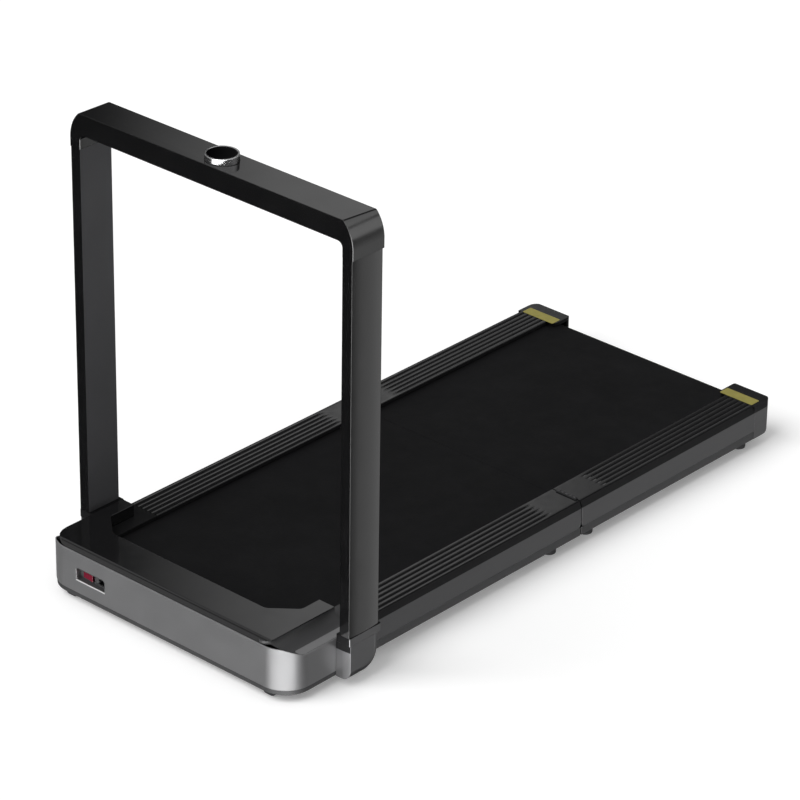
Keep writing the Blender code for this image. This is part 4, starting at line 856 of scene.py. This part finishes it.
def bar_ring(y):
    """The crossbar's outline at one station: an arch with large outer corners and short legs."""
    front, back = BAR_LOW.y, BAR_HIGH.y
    fall, radius, corner_width, crest_width = 4 * MM, 75 * MM, 24.5 * MM, 2.5 * MM
    depth, bend, steps, crest_steps = 44.5 * MM, 12 * MM, 24, 6
    outer, inner = BAR_HIGH.x, POST_LOW.x - 0.8 * MM
    top = BAR_HIGH.z - fall * (y - front) / (back - front)
    start = BAR_HIGH.z - radius * sin(acos(1 - corner_width / radius))
    sweep = asin((top - start) / radius)
    right = [(inner, BAR_LOW.z), (outer, BAR_LOW.z)]
    for k in range(steps):
        angle = sweep * k / steps
        right.append((outer - radius * (1 - cos(angle)), start + radius * sin(angle)))
    crest = Vector((outer - radius * (1 - cos(sweep)), top))
    before, after = Vector(right[-1]), crest - Vector((crest_width, 0))
    for k in range(1, crest_steps + 1):
        t = k / crest_steps
        right.append(tuple(before.lerp(crest, t).lerp(crest.lerp(after, t), t)))
    inner_bend = arc((inner - bend, BAR_HIGH.z - depth - bend), bend, 0, 90, 10)
    left = [(-x, z) for x, z in reversed(right)]
    outline = right + left + [(-x, z) for x, z in inner_bend] + inner_bend[::-1]
    return [(x, y, z) for x, z in outline]


def make_crossbar(sizes, colours):
    """The crossbar in powder coat with a polished top panel, and a seat for the dial."""
    front, back, steps = BAR_LOW.y, BAR_HIGH.y, 6
    crown, level = 8 * MM, 0.98         # tell the top's faces by place and normal
    seat_radius, seat_foot, seat_top = 33.8 * MM, BAR_HIGH.z - 4 * MM, BAR_HIGH.z + 16 * MM
    rings = [bar_ring(front + (back - front) * k / steps) for k in range(steps + 1)]
    bar = shown("crossbar_finish", lofted(rings), powder_coat(colours), polished_panel(colours))
    for face in bar.data.polygons:
        if face.normal.z > level and face.center.z > BAR_HIGH.z - crown:
            face.material_index = 1
    round_edges(bar, 0.8 * MM, angle=50, clamp=True)
    seat = rod(seat_radius, seat_top - seat_foot, 96)
    bmesh.ops.translate(seat, vec=(*DIAL_CENTRE.xy, (seat_foot + seat_top) / 2), verts=seat.verts)
    carve(bar, shown("cutter", seat))
    settle(bar, "handrail", "black_gloss", "crossbar")


def make_dial(sizes, colours):
    """A turned steel ring, a black glass button and the base under them."""
    radius, top, low = (RING_HIGH.x - RING_LOW.x) / 2, RING_HIGH.z, RING_LOW.z
    cup, face, foot = (GLASS_HIGH.x - GLASS_LOW.x) / 2, GLASS_HIGH.z, GLASS_LOW.z
    neck, edge, foot_edge, play, well = 12 * MM, 0.9 * MM, 0.6 * MM, 0.3 * MM, 9 * MM
    profile = [(neck, low), (radius - foot_edge, low), (radius, low + foot_edge), (radius, top - edge)]
    profile += arc((radius - edge, top - edge), edge, 0, 90, 5)
    profile += [(cup + play + 0.5 * MM, top), (cup + play, top - 0.5 * MM), (cup + play, top - well),
                (neck, top - well), (neck, low)]
    ring = shown("dial_ring_finish", turned(profile, DIAL_CENTRE), turned_steel(colours))
    settle(ring, "dial_ring", "steel", "dial_ring")
    dome, rim, wall, skin, steps = 0.25 * MM, 0.8 * MM, 2 * MM, 3 * MM, 8
    domed = [(0, face)] + [(cup * k / steps, face - dome * (k / steps) ** 2) for k in range(1, steps)]
    domed += arc((cup - rim, face - dome - rim), rim, 90, 0, 4)
    domed += [(cup, foot), (cup - wall, foot), (cup - wall, face - skin), (0, face - skin)]
    glass = shown("dial_cap_finish", turned(domed, DIAL_CENTRE), dial_glass(colours))
    settle(glass, "dial_cap", "dial_gloss", "dial_cap")
    finer("dial_base", 0.3 * MM, satin_black(colours), clamp=True)


def make_inner(sizes, colours):
    """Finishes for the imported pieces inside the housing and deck."""
    finishes = (
        (black_coat, ("chassis_front", "chassis_rear", "motor_body")),
        (plated_steel, ("motor_rotor", "front_axle", "rear_axle", "front_roller", "rear_roller",
                        "pivot_pin_left", "pivot_pin_right")),
        (moulded_rubber, ("drive_belt",)),
        (circuit_board, ("controller",)),
        (fibreboard, ("walking_board_front", "walking_board_rear")),
    )
    for make, nodes in finishes:
        for node in nodes:
            item = frame["nodes"][node]
            item.data.materials.clear()
            item.data.materials.append(make(colours))


# Stage

CAMERA_PLACE = (4.862, -5.489, 4.114)
CAMERA_AZIMUTH = 41.89
CAMERA_ELEVATION = 27.74
CAMERA_ROLL = 0.860
CAMERA_LENS, CAMERA_SENSOR = 183.91, 36     # millimetres

FLOOR_SEEN, FLOOR_LIGHTING = 0.95, 0.30     # the floor's shade to the camera, and as it lights the object
FLOOR_LIFT = 0.17                           # light of its own that the camera sees
LAMP_POWER, LAMP_SPREAD, LAMP_AIM = 2.3, 50, (0.18, 0.66, -0.73)
SOFT_LIGHT = 0.42                           # even light from the surroundings


def make_camera():
    """A long lens from the front right and above, with a slight roll."""
    azimuth, elevation, roll = (radians(a) for a in (CAMERA_AZIMUTH, CAMERA_ELEVATION, CAMERA_ROLL))
    ahead = Vector((-sin(azimuth) * cos(elevation), cos(azimuth) * cos(elevation), -sin(elevation)))
    level = Vector((cos(azimuth), sin(azimuth), 0))
    upright = level.cross(ahead)
    right = cos(roll) * level + sin(roll) * upright
    up = cos(roll) * upright - sin(roll) * level
    data = bpy.data.cameras.new("camera")
    data.lens = CAMERA_LENS
    data.sensor_width = CAMERA_SENSOR
    data.clip_end = 100
    camera = bpy.data.objects.new("camera", data)
    bpy.context.scene.collection.objects.link(camera)
    turn = Matrix((right, up, -ahead)).transposed().to_4x4()
    camera.matrix_world = Matrix.Translation(CAMERA_PLACE) @ turn
    bpy.context.scene.camera = camera


def make_floor():
    """White paper that keeps the object's shadow."""
    bm = bmesh.new()
    bmesh.ops.create_grid(bm, x_segments=8, y_segments=8, size=30)
    # White background paper: matt and even
    material = bpy.data.materials.new("paper_floor")
    material.use_nodes = True
    tree = material.node_tree
    shader = tree.nodes["Principled BSDF"]
    shader.inputs["Roughness"].default_value = 1.0
    shader.inputs["Specular IOR Level"].default_value = 0.0
    shader.inputs["Emission Color"].default_value = (1, 1, 1, 1)
    # The camera sees white paper; the object is lit as if it stood on a grey floor
    seen = add(tree, "LightPath").outputs["Is Camera Ray"]
    shade = add(tree, "MapRange", {"Value": seen, "To Min": FLOOR_LIGHTING, "To Max": FLOOR_SEEN})
    tree.links.new(shade.outputs["Result"], shader.inputs["Base Color"])
    lift = add(tree, "Math", {0: seen, 1: FLOOR_LIFT}, operation="MULTIPLY")
    tree.links.new(lift.outputs[0], shader.inputs["Emission Strength"])
    floor = shown("floor", bm, material)
    floor.location.z = -0.4 * MM
    floor.visible_glossy = False


# What reflections see of the studio: brightness by heading, in degrees from -Y towards +X.
# The set below the horizon lights upright faces, and the one above it the tops of rails, hood and crossbar.
LOWER_SET = ((-180, 0.12), (-144, 0.25), (-120, 0.3), (-90, 0.15), (-60, 0.04), (-38, 0.04), (-26, 0.4),
             (-8, 8.0), (20, 11.5), (65, 11.5), (88, 2.0), (108, 0.20), (130, 0.14), (131.8, 0.20),
             (133.4, 0.62), (138, 0.60), (149, 1.0), (158, 0.65), (168, 0.2), (180, 0.12))
UPPER_SET = ((-180, 0.10), (-146, 0.10), (-142.6, 0.18), (-141.4, 0.34), (-139.7, 0.80), (-138.5, 1.30),
             (-137.3, 0.82), (-136.6, 0.88), (-136.0, 0.90), (-135.1, 0.48), (-134.2, 0.38), (-133.5, 0.03),
             (-112, 0.06), (-95, 0.8), (110, 1.2), (130, 1.4), (150, 0.95), (168, 0.2), (180, 0.12))
UPPER_LEAN = -9                             # degrees that the upper set turns from horizon to zenith
# Heights on the unit sphere
HORIZON = 0.06                              # half the blend between the two sets
GAP, GAP_SHARE = (0.375, 0.400, 0.450, 0.468), 0.35     # a darker gap across the upper set
FOOT, FOOT_SHARE = (-0.64, -0.53), 0.08     # where the lower set fades out towards the floor


def brightness_ramp(tree, heading, stops):
    """A ramp of brightness over the heading, scaled so that its brightest stop can be above 1."""
    top = max(value for _, value in stops)
    share = add(tree, "MapRange", {"Value": heading, "From Min": -pi, "From Max": pi})
    ramp = add(tree, "ValToRGB", {"Fac": share.outputs["Result"]})
    ramp.color_ramp.interpolation = "EASE"
    elements = ramp.color_ramp.elements
    while len(elements) < len(stops):
        elements.new(0.5)
    for element, (degrees, value) in zip(elements, stops):
        element.position = (degrees + 180) / 360
        element.color = (value / top, value / top, value / top, 1)
    return add(tree, "Math", {0: ramp.outputs["Color"], 1: top}, operation="MULTIPLY").outputs[0]


def make_world():
    """Soft even light, a white background, and large light and dark boards that only reflections show."""
    world = bpy.data.worlds.new("studio")
    bpy.context.scene.world = world
    world.use_nodes = True
    world.cycles.sampling_method = "NONE"
    tree = world.node_tree
    tree.nodes.clear()

    def math(operation, *values):
        return add(tree, "Math", dict(enumerate(values)), operation=operation).outputs[0]

    def fade(value, start, end, share=0.0):
        """1 at the end of the stretch and beyond it, a share before its start."""
        limits = {"Value": value, "From Min": start, "From Max": end, "To Min": share}
        return add(tree, "MapRange", limits).outputs["Result"]

    direction = add(tree, "SeparateXYZ", {0: add(tree, "TexCoord").outputs["Generated"]})
    x, y, z = direction.outputs
    heading = math("ARCTAN2", x, math("MULTIPLY", y, -1.0))
    lower = brightness_ramp(tree, heading, LOWER_SET)
    tilt = math("MULTIPLY_ADD", z, radians(UPPER_LEAN), radians(-UPPER_LEAN / 2))
    upper = brightness_ramp(tree, math("ADD", heading, tilt), UPPER_SET)
    level = math("MULTIPLY_ADD", math("SUBTRACT", upper, lower), fade(z, -HORIZON, HORIZON), lower)
    gap = math("MAXIMUM", fade(z, GAP[2], GAP[3], GAP_SHARE), fade(z, GAP[1], GAP[0], GAP_SHARE))
    seen = math("MULTIPLY", math("MULTIPLY", level, gap), fade(z, *FOOT, FOOT_SHARE))
    path = add(tree, "LightPath")
    plain = math("MAXIMUM", path.outputs["Is Camera Ray"], path.outputs["Is Transmission Ray"])
    soft = add(tree, "Background", {"Color": (1, 1, 1, 1), "Strength": SOFT_LIGHT})
    boards = add(tree, "Background", {"Color": (1, 1, 1, 1), "Strength": seen})
    white = add(tree, "Background", {"Color": (1, 1, 1, 1), "Strength": 1.0})
    lit = add(tree, "MixShader", {0: path.outputs["Is Glossy Ray"], 1: soft.outputs[0], 2: boards.outputs[0]})
    final = add(tree, "MixShader", {0: plain, 1: lit.outputs[0], 2: white.outputs[0]})
    add(tree, "OutputWorld", {"Surface": final.outputs[0]})


def make_lamp():
    """One large soft lamp from the front left, above."""
    data = bpy.data.lights.new("key", "SUN")
    data.energy = LAMP_POWER
    data.angle = radians(LAMP_SPREAD)
    lamp = bpy.data.objects.new("key", data)
    bpy.context.scene.collection.objects.link(lamp)
    lamp.rotation_euler = Vector(LAMP_AIM).to_track_quat("-Z", "Y").to_euler()
    lamp.visible_glossy = False


def make_stage():
    make_camera()
    make_floor()
    make_world()
    make_lamp()
    bpy.context.scene.view_settings.view_transform = "Standard"


# Operators

def run(context, *makers):
    scene = context.scene
    for make in makers:
        make(scene.treadmill_sizes, scene.treadmill_colours)
    return {"FINISHED"}


class AddStage(bpy.types.Operator):
    """Camera, floor, world and lamp"""
    bl_idname = "treadmill.add_stage"
    bl_label = "Stage"

    def execute(self, context):
        make_stage()
        return {"FINISHED"}


class AddHousing(bpy.types.Operator):
    """Silver band and the pan under it"""
    bl_idname = "treadmill.add_housing"
    bl_label = "Band and pan"

    def execute(self, context):
        return run(context, make_band, make_pan)


class AddHood(bpy.types.Operator):
    """Polished motor cover"""
    bl_idname = "treadmill.add_hood"
    bl_label = "Hood"

    def execute(self, context):
        return run(context, make_hood)


class AddLedges(bpy.types.Operator):
    """Shelves beside the hood"""
    bl_idname = "treadmill.add_ledges"
    bl_label = "Ledges"

    def execute(self, context):
        return run(context, make_ledges, make_cove)


class AddRecess(bpy.types.Operator):
    """Recess with the mains inlet and switch"""
    bl_idname = "treadmill.add_recess"
    bl_label = "Recess"

    def execute(self, context):
        return run(context, make_recess)


class AddRails(bpy.types.Operator):
    """Grooved rail covers"""
    bl_idname = "treadmill.add_rails"
    bl_label = "Rails"

    def execute(self, context):
        return run(context, make_rails)


class AddSides(bpy.types.Operator):
    """Side bands and the trays under the deck"""
    bl_idname = "treadmill.add_sides"
    bl_label = "Side bands and trays"

    def execute(self, context):
        return run(context, make_side_bands, make_trays)


class AddEnds(bpy.types.Operator):
    """Rear corner caps and the yellow strips on them"""
    bl_idname = "treadmill.add_ends"
    bl_label = "End caps and strips"

    def execute(self, context):
        return run(context, make_end_caps, make_strips)


class AddHinges(bpy.types.Operator):
    """Fold hinges"""
    bl_idname = "treadmill.add_hinges"
    bl_label = "Hinges"

    def execute(self, context):
        return run(context, make_hinges)


class AddFeet(bpy.types.Operator):
    """Feet and transport wheels"""
    bl_idname = "treadmill.add_feet"
    bl_label = "Feet and wheels"

    def execute(self, context):
        return run(context, make_feet)


class AddBelts(bpy.types.Operator):
    """Running belt in two halves"""
    bl_idname = "treadmill.add_belts"
    bl_label = "Running belt"

    def execute(self, context):
        return run(context, make_belts)


class AddPosts(bpy.types.Operator):
    """Posts with their pods and collars"""
    bl_idname = "treadmill.add_posts"
    bl_label = "Posts"

    def execute(self, context):
        return run(context, make_posts, make_pods, make_collars)


class AddCrossbar(bpy.types.Operator):
    """Crossbar with its polished top"""
    bl_idname = "treadmill.add_crossbar"
    bl_label = "Crossbar"

    def execute(self, context):
        return run(context, make_crossbar)


class AddDial(bpy.types.Operator):
    """Dial with its ring, button and base"""
    bl_idname = "treadmill.add_dial"
    bl_label = "Dial"

    def execute(self, context):
        return run(context, make_dial)


class AddInner(bpy.types.Operator):
    """Finishes of the frame, motor and rollers"""
    bl_idname = "treadmill.add_inner"
    bl_label = "Inner pieces"

    def execute(self, context):
        return run(context, make_inner)


OPERATORS = (AddStage, AddHousing, AddHood, AddLedges, AddRecess, AddRails, AddSides, AddEnds, AddHinges,
             AddFeet, AddBelts, AddPosts, AddCrossbar, AddDial, AddInner)


class TreadmillPanel(bpy.types.Panel):
    """Makes the treadmill's pieces one by one"""
    bl_idname = "VIEW3D_PT_treadmill"
    bl_label = "Treadmill"
    bl_space_type = "VIEW_3D"
    bl_region_type = "UI"
    bl_category = "Treadmill"

    def draw(self, context):
        for operator in OPERATORS:
            self.layout.operator(operator.bl_idname)


CLASSES = (TreadmillSizes, TreadmillColours, *OPERATORS, TreadmillPanel)


def register():
    for item in CLASSES:
        bpy.utils.register_class(item)
    bpy.types.Scene.treadmill_sizes = bpy.props.PointerProperty(type=TreadmillSizes)
    bpy.types.Scene.treadmill_colours = bpy.props.PointerProperty(type=TreadmillColours)


def unregister():
    del bpy.types.Scene.treadmill_colours
    del bpy.types.Scene.treadmill_sizes
    for item in reversed(CLASSES):
        bpy.utils.unregister_class(item)


def main():
    register()
    for operator in OPERATORS:
        group, name = operator.bl_idname.split(".")
        getattr(getattr(bpy.ops, group), name)()


if __name__ == "__main__":
    main()
